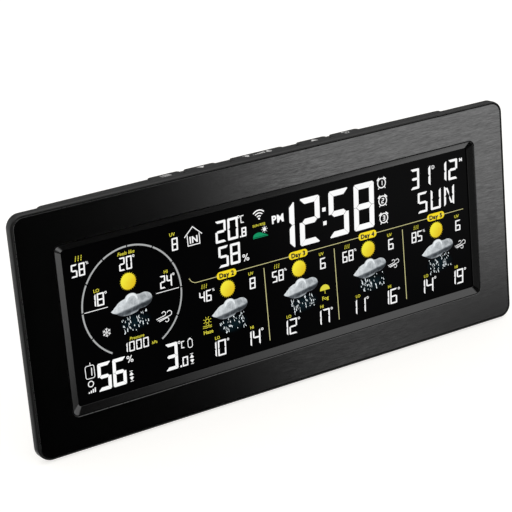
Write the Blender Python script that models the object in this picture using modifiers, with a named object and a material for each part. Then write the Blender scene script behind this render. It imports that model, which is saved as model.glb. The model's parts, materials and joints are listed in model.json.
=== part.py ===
"""Home weather station console: a wide display for a wall or a table, leaning back on a fold-out stand.

Sizes are in millimetres in the console's own upright frame: x to the right, y into the depth behind
the face, z up, with zero at the centre of the face plate's front. The console empty then leans this
frame back and lifts it, so that the feet and the stand's pads stand on z = 0 of the world.
"""

import math

import bmesh
import bpy
from mathutils import Matrix, Vector

MM = 0.001
GAP = 0.3  # clearance between neighbouring pieces

# Stance
LEAN = math.radians(8.7)
FACE_HEIGHT = 59.0  # centre of the face above the table

# Front: frame, face plate and bezel
FACE_HALF_WIDTH = 140.0
FACE_HALF_HEIGHT = 58.45
FACE_CORNER = 6.5
FRAME_DEPTH = 5.4
FRAME_LIP = 0.7
FRAME_LEDGE = 7.0
FRAME_BACK = 1.2
NOSE_DEPTH = 1.3  # the frame's front edge slopes in over this depth
NOSE_INSET = 0.2
PLATE_FRONT = 0.05
PLATE_THICKNESS = 1.2
OPENING_HALF_WIDTH = 120.7
OPENING_HALF_HEIGHT = 41.25
OPENING_DROP = 0.35
OPENING_CORNER = 3.3
SIGHT_HALF_WIDTH = 116.9
SIGHT_HALF_HEIGHT = 37.5
SIGHT_CORNER = 1.5
BEZEL_FRONT = 0.3
BEZEL_SILL = 1.3
BEZEL_FLANGE = 3.4
BEZEL_DEPTH = 3.0

# Display stack: half sizes and the front of each layer
GLASS_HALF_WIDTH = 118.0
GLASS_LOW = -41.2
GLASS_HIGH = 39.2
STACK_HALF_WIDTH = 113.2
STACK_HALF_HEIGHT = 38.6
CARRIER_WALL = 1.1
CARRIER_FRONT = 4.0
CARRIER_BACK = 9.6
LAMPS_HALF_LENGTH = 103.0

# Rear case
CASE_HALF_WIDTH = 117.3
CASE_LOW = -56.0
CASE_HIGH = 54.4
CASE_ARCH = 0.45
CASE_CORNER = 2.5
CASE_FRONT = FRAME_DEPTH + GAP
CASE_BACK = 22.5
CASE_WALL = 1.8
CASE_REAR_WALL = 2.0
CASE_INSIDE = CASE_BACK - CASE_REAR_WALL
REAR_OPENING_HALF_WIDTH = CARRIER_WALL + STACK_HALF_WIDTH + 2 * GAP
REAR_OPENING_HALF_HEIGHT = 44.0

# Top keys: name, centre across, width
KEYS = (
    ("menu_key", -52.0, 17.3),
    ("down_key", -32.3, 17.5),
    ("light_key", 0.0, 30.4),
    ("up_key", 32.3, 17.5),
    ("history_key", 52.0, 17.3),
)
KEY_FRONT = 8.2
KEY_BACK = 18.2
KEY_TOP = 56.4
KEY_CORNER = 1.8
KEY_EASE = 0.15  # first of the two steps that round a key's top edge
KEY_CROWN = 0.5
KEY_DECK = CASE_HIGH - 1.7  # top of a key's flange, under the case's top wall
KEY_FLANGE = 0.8
KEY_STEM_END = KEY_DECK - 2.2
KEY_BOARD_TOP = 46.6
SWITCH_CLEARANCE = 1.1

# Boards
BOARD_FRONT = 12.0
BOARD_THICKNESS = 1.2
BOARD_BACK = BOARD_FRONT + BOARD_THICKNESS
PARTS_FRONT = BOARD_BACK + GAP

# Controls and openings of the rear wall
CONTROL_ACROSS = 80.0
SENSOR_BUTTON_UP = 8.0
RESET_BUTTON_UP = -8.0
DIMMER_UP = 26.0
DIMMER_TRAVEL = 2.0
DIMMER_HALF_WIDTH = 2.4
DIMMER_HALF_HEIGHT = 1.5
SENSOR_BUTTON_RADIUS = 2.6
RESET_BUTTON_RADIUS = 1.8
JACK_RADIUS = 4.2
JACK_PLACE = (98.0, -38.0)
BUZZER_PLACE = (0.0, 32.0)
SOUND_CIRCLE = 3.4
KEYHOLE_ACROSS = 62.0
KEYHOLE_UP = 33.0
VENT_PLACE = (-94.0, -37.0)
VENT_PITCH = 2.8
CELL_PLACE = (-99.0, -4.0)
DOOR_LENGTH = 31.5
DOOR_HALF_HEIGHT = 14.0
DOOR_END = -116.0
SCREW_PLACES = (
    (-104.0, 47.5),
    (104.0, 47.5),
    (-104.0, -49.0),
    (104.0, -49.0),
    (-66.0, -49.0),
    (66.0, -49.0),
)

# Stand
STAND_HALF_WIDTH = 55.0
STAND_REACH = 37.0
HINGE_DEPTH = 19.3
HINGE_UP = -53.2
BARREL_RADIUS = 2.1
PIN_RADIUS = 0.8
PAD_THICKNESS = 0.9
PAD_ACROSS = 38.0
FOOT_ACROSS = 85.0
FOOT_HALF_WIDTH = 9.0
FOOT_FRONT = 8.0
FOOT_BACK = 18.0

# World place of the hinge and of the face, from the lean
HINGE_HEIGHT = FACE_HEIGHT + HINGE_UP * math.cos(LEAN) - HINGE_DEPTH * math.sin(LEAN)
HINGE_BEHIND = HINGE_DEPTH * math.cos(LEAN) + HINGE_UP * math.sin(LEAN)
# The frame's lowest front edge and the stand's end are the object's front and back.
FRONT_REACH = (
    (FACE_HALF_HEIGHT - NOSE_INSET) * math.sin(LEAN),
    FACE_HALF_HEIGHT * math.sin(LEAN) - NOSE_DEPTH * math.cos(LEAN),
)
BACK_REACH = HINGE_BEHIND + STAND_REACH
FACE_BEHIND = (max(FRONT_REACH) - BACK_REACH) / 2


def clear_scene():
    for obj in list(bpy.data.objects):
        bpy.data.objects.remove(obj, do_unlink=True)


def new_collection(name):
    made = bpy.data.collections.new(name)
    bpy.context.scene.collection.children.link(made)
    return made


def new_empty(name, location, tilt=0.0):
    empty = bpy.data.objects.new(name, None)
    empty.location = Vector(location) * MM
    empty.rotation_euler = (tilt, 0.0, 0.0)
    STATION.objects.link(empty)
    return empty


def finish(name, colour, roughness, metallic=0.0):
    """A material of one colour, for the piece of the same name."""
    made = bpy.data.materials.new(name)
    made.use_nodes = True
    shader = made.node_tree.nodes["Principled BSDF"]
    shader.inputs["Base Color"].default_value = (*colour, 1.0)
    shader.inputs["Roughness"].default_value = roughness
    shader.inputs["Metallic"].default_value = metallic
    made.diffuse_color = (*colour, 1.0)
    return made


BLACK_PLASTIC = ((0.012, 0.012, 0.013), 0.42)
BRUSHED_BLACK = ((0.035, 0.036, 0.04), 0.32, 0.7)
GLOSS_BLACK = ((0.01, 0.01, 0.012), 0.12)
GLASS = ((0.02, 0.022, 0.026), 0.08)
FILM = ((0.55, 0.57, 0.6), 0.3)
WHITE_PLASTIC = ((0.75, 0.75, 0.73), 0.5)
BOARD_GREEN = ((0.02, 0.16, 0.07), 0.45)
CHIP_BLACK = ((0.02, 0.02, 0.022), 0.5)
STEEL = ((0.62, 0.62, 0.64), 0.28, 1.0)
GOLD_FOIL = ((0.55, 0.3, 0.06), 0.35, 0.3)
RUBBER = ((0.03, 0.03, 0.032), 0.85)


def station_object(name, mesh, surface, parent=None):
    obj = bpy.data.objects.new(name, mesh)
    obj.parent = parent or CONSOLE
    obj.data.materials.append(finish(name, *surface))
    STATION.objects.link(obj)
    return obj


def helper_object(name, mesh, parent=None):
    """A cutter, or a shape that is joined to a piece."""
    obj = bpy.data.objects.new(name, mesh)
    obj.parent = parent or CONSOLE
    obj.hide_render = True
    obj.display_type = "WIRE"
    CUTTERS.objects.link(obj)
    return obj


# Each matrix stands a shape drawn in local x and y, and raised along local z, across one axis.
ALONG = {
    "x": Matrix(((0, 0, 1), (1, 0, 0), (0, 1, 0))),
    "y": Matrix(((1, 0, 0), (0, 0, -1), (0, 1, 0))),
    "z": Matrix.Identity(3),
}
FORWARD = {"x": 1, "y": -1, "z": 1}


def mesh_from(bm, name):
    bmesh.ops.recalc_face_normals(bm, faces=bm.faces)
    mesh = bpy.data.meshes.new(name)
    bm.to_mesh(mesh)
    bm.free()
    return mesh


def slab(name, outlines, start, end, axis="y"):
    """A flat piece from start to end along axis; outlines after the first are holes."""
    curve = bpy.data.curves.new(name, "CURVE")
    curve.dimensions = "2D"
    curve.fill_mode = "BOTH"
    curve.extrude = (end - start) * MM / 2
    for outline in outlines:
        spline = curve.splines.new("POLY")
        spline.points.add(len(outline) - 1)
        spline.use_cyclic_u = True
        for point, (u, v) in zip(spline.points, outline):
            point.co = (u * MM, v * MM, 0.0, 1.0)
    drawn = bpy.data.objects.new(name + "_outline", curve)
    CUTTERS.objects.link(drawn)
    graph = bpy.context.evaluated_depsgraph_get()
    filled = bpy.data.meshes.new_from_object(drawn.evaluated_get(graph))
    bpy.data.objects.remove(drawn, do_unlink=True)
    bm = bmesh.new()
    bm.from_mesh(filled)
    bpy.data.meshes.remove(filled)
    bmesh.ops.remove_doubles(bm, verts=bm.verts, dist=1e-6)
    middle = (start + end) / 2 * MM * FORWARD[axis]
    bmesh.ops.translate(bm, verts=bm.verts, vec=(0.0, 0.0, middle))
    bmesh.ops.transform(bm, matrix=ALONG[axis].to_4x4(), verts=bm.verts)
    return mesh_from(bm, name)


def loft(name, sections, axis="y"):
    """A solid through (outline, place along axis) sections, whose outlines have equal point counts."""
    bm = bmesh.new()
    rings = []
    for outline, place in sections:
        at = place * FORWARD[axis]
        rings.append([bm.verts.new(ALONG[axis] @ (Vector((u, v, at)) * MM)) for u, v in outline])
    for ring, following in zip(rings, rings[1:]):
        for i in range(len(ring)):
            bm.faces.new((ring[i - 1], ring[i], following[i], following[i - 1]))
    bm.faces.new(rings[0])
    bm.faces.new(rings[-1])
    return mesh_from(bm, name)


def brick(name, across, deep, up):
    """A box from its (low, high) limits along x, y and z."""
    low = Vector((across[0], deep[0], up[0])) * MM
    high = Vector((across[1], deep[1], up[1])) * MM
    bm = bmesh.new()
    place = Matrix.Translation((low + high) / 2) @ Matrix.Diagonal((*(high - low), 1.0))
    bmesh.ops.create_cube(bm, size=1.0, matrix=place)
    return mesh_from(bm, name)


def rod(name, radius, start, end, centre=(0.0, 0.0), axis="y", sides=20):
    """A round bar along axis; centre is its place in the two other directions, as in slab."""
    bm = bmesh.new()
    middle = (start + end) / 2 * FORWARD[axis]
    turn = ALONG[axis].to_4x4() @ Matrix.Translation(Vector((*centre, middle)) * MM)
    bmesh.ops.create_cone(
        bm,
        cap_ends=True,
        segments=sides,
        radius1=radius * MM,
        radius2=radius * MM,
        depth=(end - start) * MM,
        matrix=turn,
    )
    return mesh_from(bm, name)


def combine(obj, operation, meshes):
    for mesh in meshes:
        helper = helper_object(mesh.name, mesh, obj.parent)
        boolean = obj.modifiers.new(mesh.name, "BOOLEAN")
        boolean.operation = operation
        boolean.object = helper


def cut(obj, *meshes):
    combine(obj, "DIFFERENCE", meshes)


def join(obj, *meshes):
    combine(obj, "UNION", meshes)


def move_origin(obj, point):
    """Puts the object's origin at a point of its parent's frame, and leaves its shape in place."""
    place = Vector(point) * MM
    obj.data.transform(Matrix.Translation(-place))
    obj.location = place


def bevel_ring(obj, width, place, segments=1):
    """Rounds the edges that lie in the plane y = place."""
    weights = obj.data.attributes.new("bevel_weight_edge", "FLOAT", "EDGE")
    for edge in obj.data.edges:
        ends = [obj.data.vertices[i].co.y for i in edge.vertices]
        if all(abs(y - place * MM) < 1e-6 for y in ends):
            weights.data[edge.index].value = 1.0
    bevel = obj.modifiers.new("soft_edge", "BEVEL")
    bevel.limit_method = "WEIGHT"
    bevel.width = width * MM
    bevel.segments = segments


def rounded(half_width, low, high, radius, steps=5, arch=0.0):
    """Points of a rectangle with round corners; an arch lifts the middle of its top edge."""
    corners = (
        (half_width - radius, low + radius, -90),
        (half_width - radius, high - radius, 0),
        (radius - half_width, high - radius, 90),
        (radius - half_width, low + radius, 180),
    )
    points = []
    for number, (u, v, start) in enumerate(corners):
        for step in range(steps + 1):
            angle = math.radians(start + 90 * step / steps)
            points.append((u + radius * math.cos(angle), v + radius * math.sin(angle)))
        if arch and number == 1:
            runs = 12
            for run in range(1, runs):
                points.append((u * (1 - 2 * run / runs), high))
    lifted = []
    for u, v in points:
        rise = arch * (1 - (u / half_width) ** 2) if v > high - radius else 0.0
        lifted.append((u, v + rise))
    return lifted


def shifted(outline, across, up):
    return [(u + across, v + up) for u, v in outline]


def centred(half_width, half_height, radius, place=(0.0, 0.0), steps=5):
    return shifted(rounded(half_width, -half_height, half_height, radius, steps), *place)


def face_outline(inset, steps=6):
    corner = max(FACE_CORNER - inset, 0.5)
    return centred(FACE_HALF_WIDTH - inset, FACE_HALF_HEIGHT - inset, corner, steps=steps)


def case_outline(inset):
    radius = max(CASE_CORNER - inset, 0.4)
    low, high = CASE_LOW + inset, CASE_HIGH - inset
    return rounded(CASE_HALF_WIDTH - inset, low, high, radius, 4, CASE_ARCH)


# Front pieces


def front_frame():
    """The console's outer band and back wall, which the face plate drops into from the front."""
    solid = loft(
        "front_frame",
        (
            (face_outline(NOSE_INSET), 0.0),
            (face_outline(0.0), NOSE_DEPTH),
            (face_outline(0.0), FRAME_DEPTH - 0.4),
            (face_outline(0.4), FRAME_DEPTH),
        ),
    )
    frame = station_object("front_frame", solid, BLACK_PLASTIC)
    plate_seat = PLATE_FRONT + PLATE_THICKNESS + GAP
    lip = NOSE_INSET + FRAME_LIP
    cut(frame, slab("plate_seat", [face_outline(lip)], -1.0, plate_seat))
    hollow = face_outline(FRAME_LEDGE)
    cut(frame, slab("frame_hollow", [hollow], -1.0, FRAME_DEPTH - FRAME_BACK))
    window = centred(REAR_OPENING_HALF_WIDTH, REAR_OPENING_HALF_HEIGHT, 3.0)
    cut(frame, slab("rear_window", [window], 3.0, FRAME_DEPTH + 1))
    for number, place in enumerate(SCREW_PLACES, 1):
        join(frame, rod(f"frame_boss_{number}", 3.0, 1.9, FRAME_DEPTH - FRAME_BACK / 2, place))
        cut(frame, rod(f"frame_pilot_{number}", 1.6, 1.0, FRAME_DEPTH + 1, place, sides=16))


def face_plate():
    """Brushed sheet that covers the front; its window edge is cut to a thin bright bevel."""
    opening = centred(OPENING_HALF_WIDTH, OPENING_HALF_HEIGHT, OPENING_CORNER, (0.0, -OPENING_DROP))
    edge = face_outline(NOSE_INSET + FRAME_LIP + GAP)
    sheet = slab("face_plate", [edge, opening], PLATE_FRONT, PLATE_FRONT + PLATE_THICKNESS)
    bevel_ring(station_object("face_plate", sheet, BRUSHED_BLACK), 0.25, PLATE_FRONT)


def display_bezel():
    """Moulded surround that slopes from the plate's opening down to the glass."""
    drop = (0.0, -OPENING_DROP)
    flange_half_width = OPENING_HALF_WIDTH + BEZEL_FLANGE
    flange_half_height = OPENING_HALF_HEIGHT + BEZEL_FLANGE - 0.9
    flange = centred(flange_half_width, flange_half_height, 4.0, drop)
    back_of_plate = PLATE_FRONT + PLATE_THICKNESS + GAP
    flange_solid = slab("display_bezel", [flange], back_of_plate, BEZEL_DEPTH)
    bezel = station_object("display_bezel", flange_solid, GLOSS_BLACK)
    rim = centred(OPENING_HALF_WIDTH - GAP, OPENING_HALF_HEIGHT - GAP, OPENING_CORNER - GAP, drop)
    join(bezel, slab("bezel_rim", [rim], BEZEL_FRONT, back_of_plate + 0.5))
    land = 0.2
    outer = centred(OPENING_HALF_WIDTH - GAP - land, OPENING_HALF_HEIGHT - GAP - land, 2.8, drop)
    inner = centred(SIGHT_HALF_WIDTH, SIGHT_HALF_HEIGHT, SIGHT_CORNER)
    fall = BEZEL_SILL - BEZEL_FRONT
    ahead = [(2 * u - p, 2 * v - q) for (u, v), (p, q) in zip(outer, inner)]
    slope = (
        (ahead, BEZEL_FRONT - fall),
        (inner, BEZEL_SILL),
        (inner, BEZEL_DEPTH + 1),
    )
    cut(bezel, loft("bezel_slope", slope))
    glass = rounded(GLASS_HALF_WIDTH + GAP, GLASS_LOW - GAP, GLASS_HIGH + GAP, 0.6, 3)
    cut(bezel, slab("glass_seat", [glass], BEZEL_SILL + 0.35, BEZEL_DEPTH + 1))


# Display stack


def display_layers():
    """Glass, polarisers, colour film and backlight sheets, from front to back."""
    wide = rounded(GLASS_HALF_WIDTH, GLASS_LOW, GLASS_HIGH, 0.5, 2)
    trimmed = rounded(GLASS_HALF_WIDTH - 0.4, GLASS_LOW + 2.0, GLASS_HIGH - 0.4, 0.5, 2)
    slim = centred(STACK_HALF_WIDTH, STACK_HALF_HEIGHT, 0.5, steps=2)
    layers = (
        ("front_polariser", trimmed, 1.95, 2.15, GLASS),
        ("lcd_front_glass", trimmed, 2.4, 2.95, GLASS),
        ("lcd_rear_glass", wide, 3.2, 3.75, GLASS),
        ("rear_polariser", slim, 4.0, 4.2, FILM),
        ("colour_film", slim, 4.45, 4.65, FILM),
        ("diffuser_sheet", slim, 4.9, 5.15, WHITE_PLASTIC),
        ("light_guide", slim, 5.4, 7.9, FILM),
        ("reflector_sheet", slim, 8.15, 8.35, STEEL),
    )
    for name, outline, front, back, surface in layers:
        station_object(name, slab(name, [outline], front, back), surface)


def display_carrier():
    """White tray that holds the backlight; the strip of lamps lies in its lower wall."""
    outer = centred(STACK_HALF_WIDTH + GAP + CARRIER_WALL, STACK_HALF_HEIGHT + GAP + 2.4, 1.0, steps=2)
    inner = centred(STACK_HALF_WIDTH + GAP, STACK_HALF_HEIGHT + GAP, 0.5, steps=2)
    floor = CARRIER_BACK - 0.95
    tray_solid = slab("display_carrier", [outer], CARRIER_FRONT, CARRIER_BACK)
    tray = station_object("display_carrier", tray_solid, WHITE_PLASTIC)
    cut(tray, slab("carrier_well", [inner], CARRIER_FRONT - 1, floor))
    low = -STACK_HALF_HEIGHT - GAP
    slot = (-LAMPS_HALF_LENGTH - 1, LAMPS_HALF_LENGTH + 1)
    cut(tray, brick("lamp_slot", slot, (5.0, floor), (low - 1.6, low + 1.0)))
    lamps = (-LAMPS_HALF_LENGTH, LAMPS_HALF_LENGTH)
    strip = brick("led_strip", lamps, (5.4, 7.9), (low - 1.3, low - 0.2))
    station_object("led_strip", strip, WHITE_PLASTIC)


def flex_cables():
    """Two ribbon cables, from the ledge of the rear glass round the carrier to the main board."""
    low = -42.9
    thickness = 0.3
    path = (
        (4.1, low),
        (10.5, low),
        (10.5, -8.0),
        (10.5 - thickness, -8.0),
        (10.5 - thickness, low + thickness),
        (4.1, low + thickness),
    )
    for name, left in (("flex_cable_left", -45.0), ("flex_cable_right", 15.0)):
        station_object(name, slab(name, [path], left, left + 30.0, "x"), GOLD_FOIL)


# Electronics


def boards_and_chips():
    """Main board with its processor, radio boards, sensor and buzzer, all behind the carrier."""
    main_board = slab(
        "main_board",
        [centred(79.0, 42.0, 2.0, (29.0, -2.0), 3)],
        BOARD_FRONT,
        BOARD_BACK,
    )
    station_object("main_board", main_board, BOARD_GREEN)
    chip_back = PARTS_FRONT + 1.6
    bricks = (
        ("processor_chip", (-6.0, 8.0), (PARTS_FRONT, chip_back), (0.0, 14.0), CHIP_BLACK),
        ("wifi_board", (22.0, 46.0), (14.2, 15.0), (-6.0, 20.0), BOARD_GREEN),
        ("wifi_shield", (26.0, 42.0), (15.3, 17.5), (0.0, 14.0), STEEL),
        ("receiver_board", (-46.0, -22.0), (14.2, 15.0), (-6.0, 20.0), BOARD_GREEN),
        ("climate_sensor", (-98.0, -90.0), (14.0, 17.0), (-41.0, -33.0), WHITE_PLASTIC),
    )
    for name, across, deep, up, surface in bricks:
        station_object(name, brick(name, across, deep, up), surface)
    can = slab("crystal_can", [centred(5.2, 2.2, 2.0, (-34.0, 6.0), 4)], 15.3, 18.6)
    station_object("crystal_can", can, STEEL)
    buzzer = rod("buzzer", 6.0, PARTS_FRONT, 19.9, BUZZER_PLACE, sides=24)
    station_object("buzzer", buzzer, CHIP_BLACK)


def receiver_antenna():
    """Bare wire aerial of the sensor receiver, laid along the top of the main board."""
    curve = bpy.data.curves.new("receiver_antenna", "CURVE")
    curve.dimensions = "3D"
    curve.bevel_depth = 0.5 * MM
    curve.bevel_resolution = 1
    curve.use_fill_caps = True
    route = ((-34.0, 15.6, 21.0), (-34.0, 15.6, 24.0), (-36.0, 15.6, 26.0), (-49.0, 15.6, 26.0))
    spline = curve.splines.new("POLY")
    spline.points.add(len(route) - 1)
    for point, place in zip(spline.points, route):
        point.co = (*(Vector(place) * MM), 1.0)
    station_object("receiver_antenna", curve, STEEL)


def dc_jack():
    """Power socket on the main board; its round nose comes through the rear wall."""
    across, up = JACK_PLACE
    deep = (PARTS_FRONT, CASE_INSIDE - GAP)
    body = brick("dc_jack", (across - 7.0, across + 7.0), deep, (up - 5.5, up + 5.5))
    jack = station_object("dc_jack", body, CHIP_BLACK)
    nose = rod("jack_nose", JACK_RADIUS, CASE_INSIDE - 2.0, CASE_BACK - 0.4, JACK_PLACE, sides=24)
    join(jack, nose)
    cut(jack, rod("jack_bore", 3.0, PARTS_FRONT + 1.5, CASE_BACK + 1.0, JACK_PLACE, sides=24))
    join(jack, rod("jack_centre_pin", 0.9, PARTS_FRONT + 1.0, CASE_BACK - 1.6, JACK_PLACE, sides=12))


def backup_cell():
    """Coin cell that keeps the time, in its holder behind the battery door."""
    holder_block = slab(
        "cell_holder",
        [centred(13.0, 12.5, 2.0, CELL_PLACE, 3)],
        14.2,
        CASE_INSIDE - GAP,
    )
    holder = station_object("cell_holder", holder_block, CHIP_BLACK)
    cut(holder, rod("cell_pocket", 10.4, 15.7, CASE_BACK, CELL_PLACE, sides=32))
    station_object("coin_cell", rod("coin_cell", 10.0, 16.0, 19.2, CELL_PLACE, sides=32), STEEL)
    across, up = CELL_PLACE
    clip = brick("cell_clip", (across - 1.5, across + 1.5), (19.5, 19.8), (up - 9.6, up + 9.6))
    station_object("cell_clip", clip, STEEL)


# Keys and rear controls


def top_keys():
    """Five sliding key caps in the case's top, each over a switch on the key board."""
    board_up = (KEY_BOARD_TOP - BOARD_THICKNESS, KEY_BOARD_TOP)
    board = brick("key_board", (-66.0, 66.0), (7.4, 19.0), board_up)
    station_object("key_board", board, BOARD_GREEN)
    middle = (KEY_FRONT + KEY_BACK) / 2
    half_depth = (KEY_BACK - KEY_FRONT) / 2
    for number, (name, across, width) in enumerate(KEYS, 1):
        place = (across, middle)
        outer, eased, crown = (
            centred(width / 2 - inset, half_depth - inset, KEY_CORNER - inset, place, 3)
            for inset in (0.0, KEY_EASE, KEY_CROWN)
        )
        levels = (KEY_DECK - 0.4, KEY_TOP - KEY_CROWN, KEY_TOP - KEY_EASE, KEY_TOP)
        cap = loft(name, tuple(zip((outer, outer, eased, crown), levels)), "z")
        key = station_object(name, cap, BLACK_PLASTIC)
        reach = width / 2 + KEY_FLANGE
        flange_across = (across - reach, across + reach)
        flange_deep = (KEY_FRONT - KEY_FLANGE, KEY_BACK + KEY_FLANGE)
        flange_up = (KEY_DECK - 1.0, KEY_DECK - 0.1)
        join(key, brick(f"{name}_flange", flange_across, flange_deep, flange_up))
        join(key, rod(f"{name}_stem", 2.0, KEY_STEM_END, KEY_DECK - 0.5, place, "z", 12))
        plunger_end = KEY_STEM_END - SWITCH_CLEARANCE
        body = brick(
            f"key_switch_{number}",
            (across - 3.0, across + 3.0),
            (middle - 3.0, middle + 3.0),
            (KEY_BOARD_TOP + GAP, plunger_end - 0.8),
        )
        switch = station_object(f"key_switch_{number}", body, CHIP_BLACK)
        plunger = rod(f"key_plunger_{number}", 1.7, plunger_end - 1.2, plunger_end, place, "z", 12)
        join(switch, plunger)
        move_origin(key, (across, middle, KEY_TOP))


def rear_buttons():
    """Two push buttons in the rear wall, each over a switch on the main board."""
    for name, switch_name, up, radius in (
        ("sensor_button", "sensor_switch", SENSOR_BUTTON_UP, SENSOR_BUTTON_RADIUS),
        ("reset_button", "reset_switch", RESET_BUTTON_UP, RESET_BUTTON_RADIUS),
    ):
        place = (CONTROL_ACROSS, up)
        proud = CASE_BACK + 0.4
        flange_front = CASE_INSIDE - 1.1
        plunger = rod(name, radius, CASE_INSIDE - 0.8, proud, place)
        button = station_object(name, plunger, WHITE_PLASTIC)
        flange = rod(f"{name}_flange", radius + 1.0, flange_front, CASE_INSIDE - GAP, place)
        join(button, flange)
        move_origin(button, (CONTROL_ACROSS, proud, up))
        deep = (PARTS_FRONT, flange_front - SWITCH_CLEARANCE - 0.8)
        wide = (CONTROL_ACROSS - 3.0, CONTROL_ACROSS + 3.0)
        body = brick(switch_name, wide, deep, (up - 3.0, up + 3.0))
        switch = station_object(switch_name, body, CHIP_BLACK)
        join(switch, rod(f"{switch_name}_plunger", 1.6, deep[1] - 0.4, deep[1] + 0.8, place, sides=12))


def dimmer():
    """Slide switch for the brightness; its knob rests in the middle of three places."""
    place = (CONTROL_ACROSS, DIMMER_UP)
    inside = CASE_INSIDE - GAP
    outline = centred(DIMMER_HALF_WIDTH, DIMMER_HALF_HEIGHT, 0.4, place, 2)
    knob_solid = slab("dimmer_knob", [outline], inside - 0.5, CASE_BACK + 0.6)
    knob = station_object("dimmer_knob", knob_solid, WHITE_PLASTIC)
    join(knob, slab("dimmer_flange", [centred(7.0, 2.6, 0.4, place, 2)], inside - 0.8, inside))
    move_origin(knob, (CONTROL_ACROSS, CASE_BACK, DIMMER_UP))
    deep = (PARTS_FRONT, inside - 0.8 - 0.6)
    wide = (CONTROL_ACROSS - 5.0, CONTROL_ACROSS + 5.0)
    body = brick("dimmer_switch", wide, deep, (DIMMER_UP - 2.6, DIMMER_UP + 2.6))
    station_object("dimmer_switch", body, STEEL)


# Rear case and what it carries


def rear_case():
    """The shell behind the frame: a box with a rear wall, keys in its top and a hinge at its foot."""
    solid = loft(
        "rear_case",
        (
            (case_outline(0.0), CASE_FRONT),
            (case_outline(0.0), CASE_BACK - 1.3),
            (case_outline(0.4), CASE_BACK - 0.4),
            (case_outline(1.2), CASE_BACK),
        ),
    )
    case = station_object("rear_case", solid, BLACK_PLASTIC)
    cut(case, slab("case_hollow", [case_outline(CASE_WALL)], CASE_FRONT - 1, CASE_INSIDE))
    stand_housing(case)
    for number, place in enumerate(SCREW_PLACES, 1):
        join(case, rod(f"screw_tube_{number}", 3.8, CASE_FRONT, CASE_INSIDE + 1.0, place))
        cut(case, rod(f"screw_hole_{number}", 1.6, CASE_FRONT - 1, CASE_BACK, place, sides=16))
        cut(case, rod(f"head_well_{number}", 2.9, 8.2, CASE_BACK + 1, place))
    key_openings(case)
    keyholes(case)
    wall_openings(case)


def stand_housing(case):
    """Pocket for the hinge and shallow recess that the folded stand lies in."""
    side = STAND_HALF_WIDTH + 0.5
    recess_floor = HINGE_DEPTH - 0.6
    pocket_front = HINGE_DEPTH - BARREL_RADIUS - 0.4
    pocket_top = HINGE_UP + BARREL_RADIUS + 0.4
    recess_top = HINGE_UP + STAND_REACH + 0.8
    wall = 1.6
    open_back = CASE_BACK + 1
    join(
        case,
        brick(
            "recess_block",
            (-side - wall, side + wall),
            (recess_floor - wall, CASE_INSIDE + 1.0),
            (CASE_LOW + 1.0, recess_top + wall),
        ),
        brick(
            "pocket_block",
            (-side - wall, side + wall),
            (pocket_front - wall, recess_floor),
            (CASE_LOW + 1.0, pocket_top + wall),
        ),
    )
    cut(
        case,
        brick("hinge_pocket", (-side, side), (pocket_front, open_back), (CASE_LOW - 1, pocket_top)),
        brick("stand_recess", (-side, side), (recess_floor, open_back), (pocket_top - 1, recess_top)),
        rod("finger_notch", 8.0, CASE_INSIDE + 0.8, open_back, (0.0, recess_top), sides=24),
        rod("pin_hole", PIN_RADIUS + GAP, -side - 1.2, side + 1.2, (HINGE_DEPTH, HINGE_UP), "x", 12),
    )


def key_openings(case):
    middle = (KEY_FRONT + KEY_BACK) / 2
    half_depth = (KEY_BACK - KEY_FRONT) / 2 + GAP
    for name, across, width in KEYS:
        opening = centred(width / 2 + GAP, half_depth, KEY_CORNER + GAP, (across, middle), 3)
        cut(case, slab(f"{name}_opening", [opening], CASE_HIGH - 3.0, KEY_TOP + 1.0, "z"))


def keyholes(case):
    """Two blind keyholes for hanging the console on a wall: a round mouth with a slot above it."""
    floor = CASE_BACK - 3.4
    for number, across in enumerate((-KEYHOLE_ACROSS, KEYHOLE_ACROSS), 1):
        mouth = (across, KEYHOLE_UP)
        boss = centred(6.0, 8.0, 4.0, (across, KEYHOLE_UP + 3.0), 3)
        join(case, slab(f"keyhole_boss_{number}", [boss], floor - 1.2, CASE_INSIDE + 1.0))
        cut(case, rod(f"keyhole_mouth_{number}", 3.9, floor, CASE_BACK + 1, mouth))
        slot = centred(1.9, 3.6, 1.8, (across, KEYHOLE_UP + 4.5), 4)
        cut(case, slab(f"keyhole_slot_{number}", [slot], floor, CASE_BACK + 1))


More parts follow.
